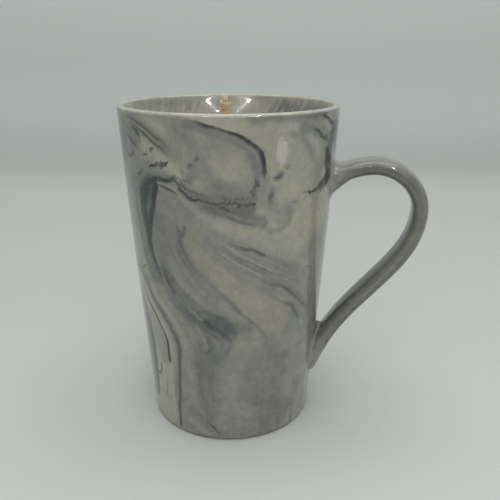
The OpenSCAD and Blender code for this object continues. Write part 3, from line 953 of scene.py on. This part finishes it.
# The strap's tone, its painted light outside and painted shade inside, its streaks and their length in
# rings, and where it begins to be plain
STRAP_TONE = 0.38
STRAP_OUTSIDE_PAINTED_LIGHT = 0.08
STRAP_INSIDE_PAINTED_SHADE = -0.18
STRAP_STREAK = 0.03
STREAK_RINGS = 60
STRAP_FROM, STRAP_FADE = 1.5, 7


def drawn_out(flow, seed, blur, steps, stride):
    """A random grain smeared along the flow, so that it turns into streaks that follow it."""
    grain = np.random.default_rng(seed).normal(size=(GRID_ROWS, COLUMNS))
    grain = soften(grain, blur)
    flow = soften(flow.reshape(GRID_ROWS, COLUMNS, 2), 3).reshape(-1, 2)
    total = grain.ravel().copy()
    for way in (0.0, math.pi):
        u, z = DEG.ravel().copy(), HEIGHT.ravel().copy()
        a = np.arctan2(flow[:, 1], flow[:, 0]) / 2 + way
        dx, dz = np.cos(a), np.sin(a)
        for _ in range(steps):
            u += dx * stride / DEGREE_MM
            z = np.abs(z + dz * stride)
            here = look_up(flow, u, z)
            a = np.arctan2(here[:, 1], here[:, 0]) / 2
            cx, cz = np.cos(a), np.sin(a)
            turn = np.sign(cx * dx + cz * dz + TINY)
            dx, dz = cx * turn, cz * turn
            total += look_up(grain, u, z)[:, 0]
    return (total - total.mean()) / total.std()


def painted(paint_all, tone, warm, streak, seed):
    """Runs the strokes on a grid: gives tone, warmth, streaking and ink, and each group of strokes."""
    c = Canvas(DEG.ravel(), HEIGHT.ravel(), tone, warm, streak)
    for paint in paint_all:
        paint(c)
    fine = drawn_out(c.flow, seed, blur=0, steps=12, stride=0.7)
    broad = drawn_out(c.flow, seed + 1, blur=2, steps=22, stride=1.0)
    threads = np.clip(-fine - THREAD_FROM, 0, THREAD_MOST)
    tone = c.tone + c.streak * (STREAK_FINE * fine + STREAK_BROAD * broad)
    tone = tone - THREADS * c.streak ** 2 * threads
    return np.stack([tone, c.warm, c.streak, c.ink], 1), [group["values"] for group in c.groups]


def paint_mug(piece, points, row, ring):
    """Carries the painted grids, the lip's own tone, and the strap's tone with its painted light and shade,
    to the mesh.
    """
    outside, strokes = painted((paint_front, paint_back), tone=0.6, warm=0.2, streak=0.35, seed=11)
    inside, _ = painted((paint_inside,), tone=0.66, warm=0.0, streak=0.3, seed=21)
    degrees = np.degrees(np.arctan2(points[:, 1], points[:, 0]))
    heights = points[:, 2]
    is_in = row >= LIP_TOP_ROW
    paint = np.where(is_in[:, None], look_up(inside, degrees, heights), look_up(outside, degrees, heights))

    # The pale lip
    lip = np.exp(-((row - LIP_TOP_ROW) / LIP_ROWS) ** 2) * (row >= 0)
    lip = np.maximum(lip, smoothstep((heights - (LIP_Z + 0.1)) / LIP_TOP) * (ring < 0))
    paint[:, 0] += (LIP_TONE - paint[:, 0]) * lip
    paint[:, 1] += (PLAIN_WARMTH - paint[:, 1]) * lip

    # The strap: plain, with painted light on its outer face, painted shade on its inner face, and faint
    # streaks along it
    random = np.random.default_rng(8)
    rings = ring.max() + 1
    grain = random.normal(size=(rings + STREAK_RINGS, SECTION))
    long = np.stack([grain[k:k + rings] for k in range(STREAK_RINGS)]).mean(0) * math.sqrt(STREAK_RINGS)
    long = (long + np.roll(long, 1, 1) + np.roll(long, -1, 1)) / math.sqrt(3)
    on = ring >= 0
    away = np.zeros(len(points))
    away[on] = smoothstep((wall_distance(points[on]) - STRAP_FROM) / STRAP_FADE)
    around = np.zeros(len(points), int)
    around[on] = np.arange(on.sum()) % SECTION
    outward = np.sin(2 * math.pi * around / SECTION)
    # Painted light on the strap's outer face and painted shade on its inner face, which faces the wall
    strap_tone_and_shading = STRAP_TONE + STRAP_OUTSIDE_PAINTED_LIGHT * smoothstep((outward + 0.2) / 1.1)
    strap_tone_and_shading += STRAP_INSIDE_PAINTED_SHADE * smoothstep((-outward - 0.3) / 0.7)
    strap_tone_and_shading[on] += STRAP_STREAK * long[ring[on], around[on]]
    for channel, target in enumerate((strap_tone_and_shading, PLAIN_WARMTH, 0.5)):
        paint[:, channel] += (target - paint[:, channel]) * away
    add_attribute(piece, "paint", paint)

    # No strokes on the strap, the lip, the inside or the middle of the underside
    hide = 4 * away + 4 * lip + 9 * (is_in | (row == 0))
    for k, layer in enumerate(strokes):
        values = look_up(layer, degrees, heights)
        values[:, 1] -= hide
        add_attribute(piece, f"stroke_{k}", values)


# ---------------------------------------------------------------- shader building

def srgb(r, g, b):
    """A colour of three numbers up to 255 as the linear colour that a shader takes."""
    linear = [v / 255 / 12.92 if v <= 10 else ((v / 255 + 0.055) / 1.055) ** 2.4 for v in (r, g, b)]
    return (*linear, 1)


class Shader:
    """A material and short calls that add nodes to it."""

    def __init__(self, name):
        self.material = bpy.data.materials.new(name)
        self.material.use_nodes = True
        self.tree = self.material.node_tree
        self.surface = self.tree.nodes["Principled BSDF"]
        place = self.node("ShaderNodeTexCoord").outputs["Object"]
        scaled = self.node("ShaderNodeVectorMath", {"operation": "SCALE"}, {0: place, "Scale": 1 / MM})
        self.place = scaled.outputs[0]

    def node(self, kind, settings=None, inputs=None):
        """A node of a kind with its settings, and with values or links on its inputs."""
        node = self.tree.nodes.new(kind)
        for key, value in (settings or {}).items():
            setattr(node, key, value)
        for key, value in (inputs or {}).items():
            self.put(node.inputs[key], value)
        return node

    def put(self, socket, value):
        """Links an output to a socket, or sets its value."""
        if isinstance(value, bpy.types.NodeSocket):
            self.tree.links.new(value, socket)
        else:
            socket.default_value = value

    def set(self, **values):
        """Values or links for the surface's own sockets, with _ for a space in their names."""
        for key, value in values.items():
            self.put(self.surface.inputs[key.replace("_", " ")], value)

    def math(self, operation, *values):
        return self.node("ShaderNodeMath", {"operation": operation}, dict(enumerate(values))).outputs[0]

    def total(self, *values):
        result, *others = values
        for value in others:
            result = self.math("ADD", result, value)
        return result

    def noise(self, size, amount=1.0, detail=3.0, rough=0.55, stretch=(1, 1, 1), shift=0.0):
        """Noise round 0, with blotches of about the given size in millimetres."""
        place = self.node("ShaderNodeMapping", {}, {
            "Vector": self.place, "Location": (shift, shift * 0.7, shift * 0.3),
            "Scale": tuple(1 / s for s in stretch),
        }).outputs[0]
        fac = self.node("ShaderNodeTexNoise", {}, {
            "Vector": place, "Scale": 1 / size, "Detail": detail, "Roughness": rough,
        }).outputs["Fac"]
        return self.math("MULTIPLY_ADD", fac, 2 * amount, -amount)

    def lines(self, distance, size, shift):
        """Noise round 0 in lines of about the given size, which run along a stroke and slowly change."""
        across = self.node("ShaderNodeCombineXYZ", {}, {0: distance, 1: 7.0 * shift}).outputs[0]
        slow = self.node("ShaderNodeVectorMath", {"operation": "SCALE"}, {
            0: self.place, "Scale": LINE_DRIFT,
        })
        place = self.node("ShaderNodeVectorMath", {"operation": "ADD"}, {0: across, 1: slow.outputs[0]})
        fac = self.node("ShaderNodeTexNoise", {}, {
            "Vector": place.outputs[0], "Scale": 1 / size, "Detail": 3.0, "Roughness": 0.6,
        }).outputs["Fac"]
        return self.math("MULTIPLY_ADD", fac, 2.0, -1.0)

    def ramp(self, fac, stops):
        """Colours between stops of (position, colour), eased where there are more than three."""
        node = self.node("ShaderNodeValToRGB", {}, {"Fac": fac})
        node.color_ramp.interpolation = "B_SPLINE" if len(stops) > 3 else "LINEAR"
        elements = node.color_ramp.elements
        for position, colour in stops[1:-1]:
            elements.new(position).color = colour
        elements[0].position, elements[0].color = stops[0]
        elements[-1].position, elements[-1].color = stops[-1]
        return node.outputs["Color"]

    def mix(self, fac, a, b):
        node = self.node("ShaderNodeMix", {"data_type": "RGBA"})
        self.put(node.inputs[0], fac)
        self.put(node.inputs[6], a)
        self.put(node.inputs[7], b)
        return node.outputs[2]

    def fade(self, value, start, stop, low=1.0, high=0.0):
        """A smooth step from low, where value is at start or under, to high at stop."""
        return self.node("ShaderNodeMapRange", {"interpolation_type": "SMOOTHSTEP"}, {
            "Value": value, "From Min": start, "From Max": stop, "To Min": low, "To Max": high,
        }).outputs["Result"]

    def bump(self, height, depth_mm):
        """A normal bent by a height, where 1 stands for the depth."""
        return self.node("ShaderNodeBump", {}, {
            "Height": height, "Distance": depth_mm * MM, "Strength": 1.0,
        }).outputs["Normal"]


# The glaze's colours by tone, from charcoal to cream, for each warmth
NEUTRAL = [(0.0, srgb(48, 51, 54)), (0.25, srgb(82, 84, 83)), (0.5, srgb(117, 117, 111)),
           (0.75, srgb(147, 147, 137)), (1.0, srgb(180, 179, 167))]
BEIGE = [(0.0, srgb(54, 52, 47)), (0.25, srgb(88, 86, 78)), (0.5, srgb(121, 119, 108)),
         (0.75, srgb(151, 149, 134)), (1.0, srgb(184, 181, 163))]
TEAL = [(0.0, srgb(34, 46, 52)), (0.25, srgb(70, 79, 82)), (0.5, srgb(108, 115, 114)),
        (0.75, srgb(140, 144, 139)), (1.0, srgb(176, 179, 172))]
VEIN_COLOUR = srgb(30, 39, 43)

# Combed lines: how strong the broad ones, the fine ones and the dark threads are
COMB_BROAD = 0.2
COMB_FINE = 0.17
COMB_THREAD = 0.26
THREAD_LEVELS = (-0.42, -0.2)
LINE_DRIFT = 0.06
RAG_CELL_MM = 1.6


def combed_lines(s, offset, k):
    """The tone of the fine lines in the combed strokes of group k."""
    return s.total(
        s.math("MULTIPLY", s.lines(offset, 1.9, k), COMB_BROAD),
        s.math("MULTIPLY", s.lines(offset, 0.7, 5 + k), COMB_FINE),
        s.fade(s.lines(offset, 1.0, 9 + k), *THREAD_LEVELS, -COMB_THREAD, 0.0),
    )


def marbled_glaze(groups):
    """The glaze, from the paint on the mesh: its clouds, then its combed bands, then its dark veins."""
    s = Shader("marbled_glaze")
    paint = s.node("ShaderNodeAttribute", {"attribute_name": "paint"})
    tone, warm, streak = s.node("ShaderNodeSeparateColor", {}, {0: paint.outputs["Color"]}).outputs
    tone = s.total(
        tone, s.noise(16, 0.08), s.noise(6, 0.12, shift=40), s.noise(2.2, 0.10, shift=90),
        s.math("MULTIPLY", streak, s.noise(0.9, 0.10, shift=140)), s.noise(0.5, 0.05, shift=170),
    )

    # Each group of strokes holds a distance, a half width and the softness on either side. Torn and
    # smooth ones are veins, and combed ones are bands of fine lines, with their strength in place of
    # the softness on the right.
    wander = s.total(s.noise(11, 0.3, detail=1, shift=20), s.noise(1.4, 0.09, detail=2, shift=25))
    rag = s.total(s.noise(1.7, 0.95, detail=2, shift=70), s.noise(5, 0.7, detail=1, shift=30))
    cells = s.node("ShaderNodeTexVoronoi", {}, {"Vector": s.place, "Scale": 1 / RAG_CELL_MM})
    rag = s.total(cells.outputs["Distance"], rag, -0.5)
    dark = 0.0
    for k, style in enumerate(groups):
        stroke = s.node("ShaderNodeAttribute", {"attribute_name": f"stroke_{k}"})
        dist, width, soft = s.node("ShaderNodeSeparateColor", {}, {0: stroke.outputs["Color"]}).outputs
        last = stroke.outputs["Alpha"]
        offset = s.math("ADD", dist, rag if style == "torn" else wander)
        if style == "combed":
            inner, outer = s.math("MULTIPLY", width, 0.4), s.math("ADD", width, soft)
            cover = s.fade(s.math("ABSOLUTE", dist), inner, outer)
            cover = s.math("MULTIPLY", cover, s.fade(width, 0.0, 0.6, 0.0, 1.0))
            cover = s.math("MULTIPLY", cover, last)
            tone = s.math("MULTIPLY_ADD", cover, combed_lines(s, offset, k), tone)
            continue
        left = s.math("GREATER_THAN", offset, 0.0)
        soft = s.math("MULTIPLY_ADD", left, s.math("SUBTRACT", soft, last), last)
        inner, outer = s.math("MULTIPLY", width, 0.3), s.math("ADD", width, soft)
        cover = s.fade(s.math("ABSOLUTE", offset), inner, outer)
        cover = s.math("MULTIPLY", cover, s.fade(width, 0.0, 0.35, 0.0, 1.0))
        dark = s.math("MAXIMUM", dark, cover)

    warm = s.math("ADD", warm, s.noise(12, 0.5, shift=60))
    colour = s.mix(s.fade(warm, 0, 1, 0, 1), s.ramp(tone, NEUTRAL), s.ramp(tone, BEIGE))
    colour = s.mix(s.fade(warm, -1, 0, 1, 0), colour, s.ramp(tone, TEAL))
    patchy = s.fade(s.noise(5, 1.0, shift=15), -0.6, 0.2, 0.6, 1.0)
    ink = s.math("MULTIPLY", paint.outputs["Alpha"], patchy)
    colour = s.mix(s.math("MULTIPLY", dark, ink), colour, VEIN_COLOUR)
    s.set(Base_Color=colour, Roughness=s.math("ADD", s.noise(4, 0.04), 0.24))
    s.set(Coat_Weight=0.8, Coat_Roughness=0.04, Coat_IOR=1.5, IOR=1.45, Specular_IOR_Level=0.2)
    skin = s.bump(s.total(s.noise(7, 0.5, detail=1), s.noise(1.4, 0.12, detail=1, shift=33)), 0.05)
    s.set(Normal=skin, Coat_Normal=skin)
    return s.material


def bare_clay():
    """The unglazed ring that the mug stands on."""
    s = Shader("unglazed_foot")
    tone = s.total(s.noise(6, 0.3), s.noise(0.7, 0.4), 0.5)
    s.set(Base_Color=s.ramp(tone, [(0.0, srgb(150, 144, 130)), (1.0, srgb(196, 190, 176))]), Roughness=0.85)
    s.set(Normal=s.bump(s.noise(0.6, 0.5), 0.08))
    return s.material


def soy_wax():
    """Off-white wax with faint frosting."""
    s = Shader("soy_wax")
    frost = s.total(s.noise(9, 0.35, detail=5), s.noise(2, 0.3, shift=50), 0.5)
    s.set(Base_Color=s.ramp(frost, [(0.1, srgb(214, 205, 182)), (0.9, srgb(234, 228, 210))]))
    s.set(Roughness=s.math("ADD", s.noise(5, 0.12, shift=80), 0.5))
    s.set(Subsurface_Weight=0.2, Subsurface_Radius=(1.0, 0.7, 0.4), Subsurface_Scale=0.003)
    s.set(Normal=s.bump(s.total(s.noise(6, 0.6), s.noise(0.8, 0.2, shift=12)), 0.15))
    return s.material


def cotton_yarn():
    """Tan yarn, whose frayed ends are cream, from the paleness on the mesh."""
    s = Shader("cotton_yarn")
    pale = s.node("ShaderNodeAttribute", {"attribute_name": "pale"}).outputs["Fac"]
    fibre = s.total(s.noise(0.3, 0.5, stretch=(1, 1, 4)), s.noise(1.2, 0.5, shift=31), 0.5)
    tan = s.ramp(fibre, [(0.0, srgb(112, 78, 44)), (0.45, srgb(172, 138, 92)), (1.0, srgb(196, 168, 122))])
    cream = s.ramp(fibre, [
        (0.0, srgb(168, 148, 100)), (0.5, srgb(206, 192, 148)), (1.0, srgb(222, 214, 178)),
    ])
    s.set(Base_Color=s.mix(s.fade(pale, 0.0, 1.0, 0.0, 1.0), tan, cream))
    s.set(Roughness=0.9, Sheen_Weight=0.25, Sheen_Roughness=0.5)
    s.set(Normal=s.bump(fibre, 0.12))
    return s.material


def tinned_steel():
    """Dull plated metal with fine brushing."""
    s = Shader("tinned_steel")
    cloud = s.total(s.noise(3, 0.5), 0.5)
    s.set(Base_Color=s.ramp(cloud, [(0.0, srgb(170, 172, 172)), (1.0, srgb(206, 207, 204))]), Metallic=1.0)
    s.set(Roughness=s.math("ADD", s.noise(0.8, 0.12, stretch=(1, 6, 1)), 0.34))
    return s.material


# ---------------------------------------------------------------- wax, wick and sustainer

def lathe(outline, columns):
    """Points and faces of a closed round solid, whose outline runs from axis to axis."""
    angle = np.linspace(0, 2 * math.pi, columns, endpoint=False)
    body = np.array(outline[1:-1], float)
    points = np.stack([
        body[:, 0, None] * np.cos(angle), body[:, 0, None] * np.sin(angle),
        np.repeat(body[:, 1, None], columns, 1),
    ], -1).reshape(-1, 3)
    faces = []
    last = (len(body) - 1) * columns
    for c in range(columns):
        c2 = (c + 1) % columns
        for r in range(len(body) - 1):
            low, high = r * columns, (r + 1) * columns
            faces.append((low + c, low + c2, high + c2, high + c))
        faces.append((len(points), c2, c))
        faces.append((last + c, last + c2, len(points) + 1))
    return np.vstack([points, [[0, 0, outline[0][1]], [0, 0, outline[-1][1]]]]), faces


WAX_GAP = 0.04
WAX_DISH = 0.9
WAX_CLIMB_R = 2.6
WAX_COLUMNS = 180
WAX_SIDE_ROWS = 18
WAX_TOP_RINGS = 60


def build_wax():
    """The wax fill: it clings to the wall and the wick and has sunk a little between them."""
    corner_c = float(inner_r(CORNER_Z)) - INNER_CORNER_R
    outline = [(0, FLOOR_Z + WAX_GAP), (corner_c, FLOOR_Z + WAX_GAP)]
    outline += arc(corner_c, CORNER_Z, INNER_CORNER_R - WAX_GAP, -75, 0, 6)
    edge_z = WAX_Z - WAX_GAP / 2
    outline += [(float(inner_r(z)) - WAX_GAP, z) for z in np.linspace(CORNER_Z + 6, edge_z, WAX_SIDE_ROWS)]
    edge = outline[-1][0]
    outline += [(edge * share, edge_z) for share in np.linspace(0.995, 0.02, WAX_TOP_RINGS)]
    outline.append((0, edge_z))
    points, faces = lathe(outline, WAX_COLUMNS)
    top = points[:, 2] >= edge_z - TINY
    x, y = points[top, 0], points[top, 1]
    rim = np.clip(np.hypot(x, y) / edge, 0, 1)
    wick = np.exp(-(np.hypot(x - WICK_X, y) / WAX_CLIMB_R) ** 2)
    swell = 0.10 * np.sin(x / 7.1 + 1.2) * np.cos(y / 8.3) + 0.06 * np.sin(x / 3.3 - y / 4.1)
    points[top, 2] -= WAX_DISH * (1 - rim ** 14) * (1 - 0.6 * wick) + (swell + 0.16) * (1 - rim ** 6)
    return points, faces


def tube(path, radii, sides):
    """A round tube along a path with closed ends."""
    path = np.array(path, float)
    heading = unit(np.gradient(path, axis=0))
    side = unit(np.cross(heading, [0.31, 0.95, 0.05]))
    other = np.cross(heading, side)
    a = np.linspace(0, 2 * math.pi, sides, endpoint=False)[None, :, None]
    rings = path[:, None] + np.asarray(radii)[:, None, None] * (
        np.cos(a) * side[:, None] + np.sin(a) * other[:, None]
    )
    faces = [tuple(range(sides - 1, -1, -1)), tuple((len(path) - 1) * sides + k for k in range(sides))]
    for r in range(len(path) - 1):
        low, high = r * sides, (r + 1) * sides
        for k in range(sides):
            k2 = (k + 1) % sides
            faces.append((low + k, low + k2, high + k2, high + k))
    return rings.reshape(-1, 3), faces


def joined(parts):
    """Several bodies' points and faces as those of one mesh."""
    points, faces = [], []
    for part_points, part_faces in parts:
        base = sum(len(p) for p in points)
        points.append(part_points)
        faces += [tuple(base + v for v in face) for face in part_faces]
    return np.vstack(points), faces


PLIES = 3
PLY_R = 0.92
BRAID_WIDE = 0.74
BRAID_DEEP = 0.42
BRAID_PITCH = 5.6
PLY_SIDES = 12
PLY_STEP = 0.4
PLY_PAST_NECK = 1.2
YARN_POINTS = 9
FRAY_LEN = 3.7
WICK_TIP_R = 2.4

# For the yarns and for the fibres among them: radius, how far they stray, and sides
YARN = (0.3, 0.5, 6)
FIBRE = (0.09, 0.75, 4)

# Tufts at the top: offsets (x, y) at the neck, at the bend and at the end, the end's depth under the
# top, and the number of yarns, which is also that of fibres
TUFTS = [
    ((-0.7, -0.2), (-1.6, -0.5), (-1.75, -0.6), 1.9, 16),
    ((0.7, -0.2), (1.4, -0.4), (2.0, -0.5), 2.9, 12),
    ((-0.3, 0.0), (-0.6, 0.2), (-0.5, 0.3), 0.3, 10),
    ((0.3, 0.1), (0.5, 0.3), (0.6, 0.3), 0.5, 9),
    ((0.0, 0.5), (0.1, 1.2), (0.3, 1.6), 1.8, 12),
    ((0.0, -0.4), (0.1, -1.0), (-0.1, -1.3), 2.7, 10),
]


def build_wick():
    """A cotton wick: three plies plaited together, and pale tufts of yarns and fibres at the top.
    Also gives how pale each point is."""
    top = WICK_HIGH[2]
    neck = top - FRAY_LEN
    z = np.arange(WICK_LOW[2] + 0.1, neck + PLY_PAST_NECK, PLY_STEP)
    parts, pale = [], []
    for ply in range(PLIES):
        t = 2 * math.pi * (z / BRAID_PITCH + ply / PLIES)
        path = np.stack([WICK_X + BRAID_WIDE * np.sin(t), BRAID_DEEP * np.sin(2 * t), z], 1)
        radii = np.full(len(z), PLY_R)
        radii[-3:] *= (0.95, 0.85, 0.6)
        parts.append(tube(path, radii, PLY_SIDES))
        pale.append(np.repeat(smoothstep((z - neck) / 2), PLY_SIDES))
    ends = np.random.default_rng(3)
    s = np.linspace(0, 1, YARN_POINTS)
    for start, bend, end, depth, count in TUFTS:
        for radius, spread, sides in [YARN] * count + [FIBRE] * count:
            nudge = ends.uniform(-spread, spread, 3)
            corners = np.array([(*start, -0.9), (*bend, FRAY_LEN - depth - 0.5), (*end, FRAY_LEN - depth)])
            corners[:, :2] += nudge[:2] * np.array([[0.4], [0.8], [1.0]])
            corners[1:, 2] += nudge[2] * 0.8
            a, b, c = corners
            path = np.outer((1 - s) ** 2, a) + np.outer(2 * s * (1 - s), b) + np.outer(s ** 2, c)
            reach = np.hypot(path[:, 0], path[:, 1])
            within = (WICK_TIP_R - radius - 0.03) / np.maximum(reach, TINY)
            path[:, :2] *= np.minimum(1, within)[:, None]
            path[:, 2] = np.minimum(path[:, 2] + neck, top - radius - 0.02)
            path[:, 0] += WICK_X
            parts.append(tube(path, radius * (1 - 0.4 * s ** 2), sides))
            pale.append(np.repeat(smoothstep(s * 1.5 - 0.1), sides))
    points, faces = joined(parts)
    return points, faces, np.concatenate(pale)


# ---------------------------------------------------------------- the pieces

mug_points, mug_faces, mug_row, mug_ring = build_mug()
mug = add_mesh("mug_glazed", mug_points, mug_faces)
paint_mug(mug, mug_points, mug_row, mug_ring)
stroke_styles = [style for style, count in GROUPS.items() for _ in range(count)]
mug.data.materials.append(marbled_glaze(stroke_styles))
mug.data.materials.append(bare_clay())
face_rows = [[mug_row[v] for v in face] for face in mug_faces]
foot = [min(rows) >= FOOT_ROWS[0] and max(rows) <= FOOT_ROWS[1] for rows in face_rows]
mug.data.polygons.foreach_set("material_index", np.array(foot, np.int32))
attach(mug, "root")
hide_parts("mug")

wax = add_mesh("wax_poured", *build_wax())
wax.data.materials.append(soy_wax())
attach(wax, "root")
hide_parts("wax_fill")

wick_points, wick_faces, wick_pale = build_wick()
wick = add_mesh("wick_braided", wick_points, wick_faces)
add_attribute(wick, "pale", wick_pale)
wick.data.materials.append(cotton_yarn())
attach(wick, "root")
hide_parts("wick")

# The sustainer's CAD shape stays, with a material of its own
sustainer = bpy.data.objects["wick_sustainer"]
sustainer.data.materials.clear()
sustainer.data.materials.append(tinned_steel())

# ---------------------------------------------------------------- camera

CAMERA_AT = Vector((0.0473, -0.2371, 0.1560))
CAMERA_AZIMUTH = 99.283
CAMERA_PITCH = 19.14
CAMERA_ROLL = 0.108
LENS_MM = 42.54

camera = bpy.data.objects.new("camera", bpy.data.cameras.new("camera"))
camera.data.sensor_width = 36
camera.data.lens = LENS_MM
camera.data.clip_start = 0.01
heading = Matrix.Rotation(math.radians(CAMERA_AZIMUTH - 90), 4, "Z")
tilt = Matrix.Rotation(math.radians(90 - CAMERA_PITCH), 4, "X")
roll = Matrix.Rotation(math.radians(CAMERA_ROLL), 4, "Z")
camera.matrix_world = Matrix.Translation(CAMERA_AT) @ heading @ tilt @ roll
bpy.context.scene.collection.objects.link(camera)
bpy.context.scene.camera = camera
bpy.context.scene.view_settings.view_transform = "Standard"

# ---------------------------------------------------------------- floor and backdrop

AHEAD = Vector((math.cos(math.radians(CAMERA_AZIMUTH)), math.sin(math.radians(CAMERA_AZIMUTH)), 0))
ACROSS = Vector((AHEAD.y, -AHEAD.x, 0))


def place(ahead, across, up):
    """A point in metres: how far past the mug from the camera, how far to the right, how high."""
    return AHEAD * ahead + ACROSS * across + Vector((0, 0, up))


FLOOR_NEAR, FLOOR_FAR, FOLD_R, BACK_H, HALF_SPAN = -2.5, 0.38, 0.14, 1.6, 2.5
FOLD_STEPS = 16
PAPER_SHADE_H = 300

profile = [(FLOOR_NEAR, 0), (FLOOR_FAR - 0.02, 0)]
for k in range(FOLD_STEPS + 1):
    a = math.radians(90 * k / FOLD_STEPS)
    profile.append((FLOOR_FAR + FOLD_R * math.sin(a), FOLD_R * (1 - math.cos(a))))
profile += [(FLOOR_FAR + FOLD_R, FOLD_R + 0.05), (FLOOR_FAR + FOLD_R, BACK_H)]
sheet = [place(ahead, side * HALF_SPAN, up) / MM for ahead, up in profile for side in (-1, 1)]
strips = [(2 * k, 2 * k + 1, 2 * k + 3, 2 * k + 2) for k in range(len(profile) - 1)]
sweep = add_mesh("studio_sweep", sheet, strips)

# Pale paper with painted shade where the floor turns up into the backdrop and painted light towards the
# backdrop's top, with uneven borders
paper = Shader("studio_paper")
cloud = paper.total(paper.noise(160, 0.5, detail=2), 0.5)
height = paper.node("ShaderNodeSeparateXYZ", {}, {0: paper.place}).outputs["Z"]
height = paper.math("ADD", height, paper.math("MULTIPLY", cloud, 6))
paper.set(Base_Color=paper.ramp(paper.math("DIVIDE", height, PAPER_SHADE_H), [
    (0.0, srgb(190, 192, 188)), (0.03, srgb(184, 186, 183)), (0.08, srgb(164, 168, 166)),
    (0.25, srgb(186, 190, 189)), (0.5, srgb(206, 210, 209)), (1.0, srgb(220, 224, 223)),
]))
paper.set(Roughness=0.8, Specular_IOR_Level=0.1)
sweep.data.materials.append(paper.material)

# ---------------------------------------------------------------- light

world = bpy.data.worlds.new("studio")
world.use_nodes = True
background = world.node_tree.nodes["Background"]
background.inputs["Color"].default_value = (0.62, 0.63, 0.62, 1)
background.inputs["Strength"].default_value = 0.85
bpy.context.scene.world = world


def lamp(name, at, towards, size, radiance, lights="both"):
    """An oval lamp, with its width and height in metres, as bright as radiance, where 1 is white.
    It lights only dull surfaces, shows only in gloss, or does both."""
    wide, high = pair(size)
    light = bpy.data.lights.new(name, "AREA")
    light.shape = "ELLIPSE"
    light.size = wide
    light.size_y = high
    light.energy = radiance * math.pi * math.pi * wide * high / 4
    holder = bpy.data.objects.new(name, light)
    holder.visible_camera = False
    holder.visible_diffuse = lights != "gloss"
    holder.visible_glossy = lights != "dull"
    holder.location = at
    holder.rotation_euler = (Vector(towards) - Vector(at)).to_track_quat("-Z", "Y").to_euler()
    bpy.context.scene.collection.objects.link(holder)


lamp("ceiling", place(0.2, 0.1, 1.4), (0, 0, 0), 1.6, 2.3)

# A soft lamp overhead, and rows of small ones round its frame that show only in the glaze. Each row
# has its two ends, (back, across) from the mug, its number of lamps and their radiance.
FRAME_H = 0.4
lamp("overhead", place(-0.42, 0.02, FRAME_H), place(-0.42, 0.02, 0), 0.36, 3.3, "dull")
SMALL_LAMP = (0.008, 0.017)
SIDES = [
    ((0.248, 0.168), (0.56, 0.168), 15, 140), ((0.254, 0.182), (0.56, 0.182), 15, 140),
    ((0.270, -0.134), (0.60, -0.070), 15, 140), ((0.276, -0.148), (0.60, -0.083), 15, 140),
    ((0.252, 0.15), (0.272, -0.12), 9, 50),
]
for side, (start, stop, count, radiance) in enumerate(SIDES):
    for k in range(count):
        share = k / (count - 1)
        back, across = (a + (b - a) * share for a, b in zip(start, stop))
        spot = place(-back, across, FRAME_H)
        lamp(f"frame_{side}_{k}", spot, spot - Vector((0, 0, 1)), SMALL_LAMP, radiance, "gloss")

# A small soft lamp low on the right
lamp("low_right", (0.318, -0.163, 0.035), (0.03, -0.03, 0.123), (0.080, 0.024), 2.6)
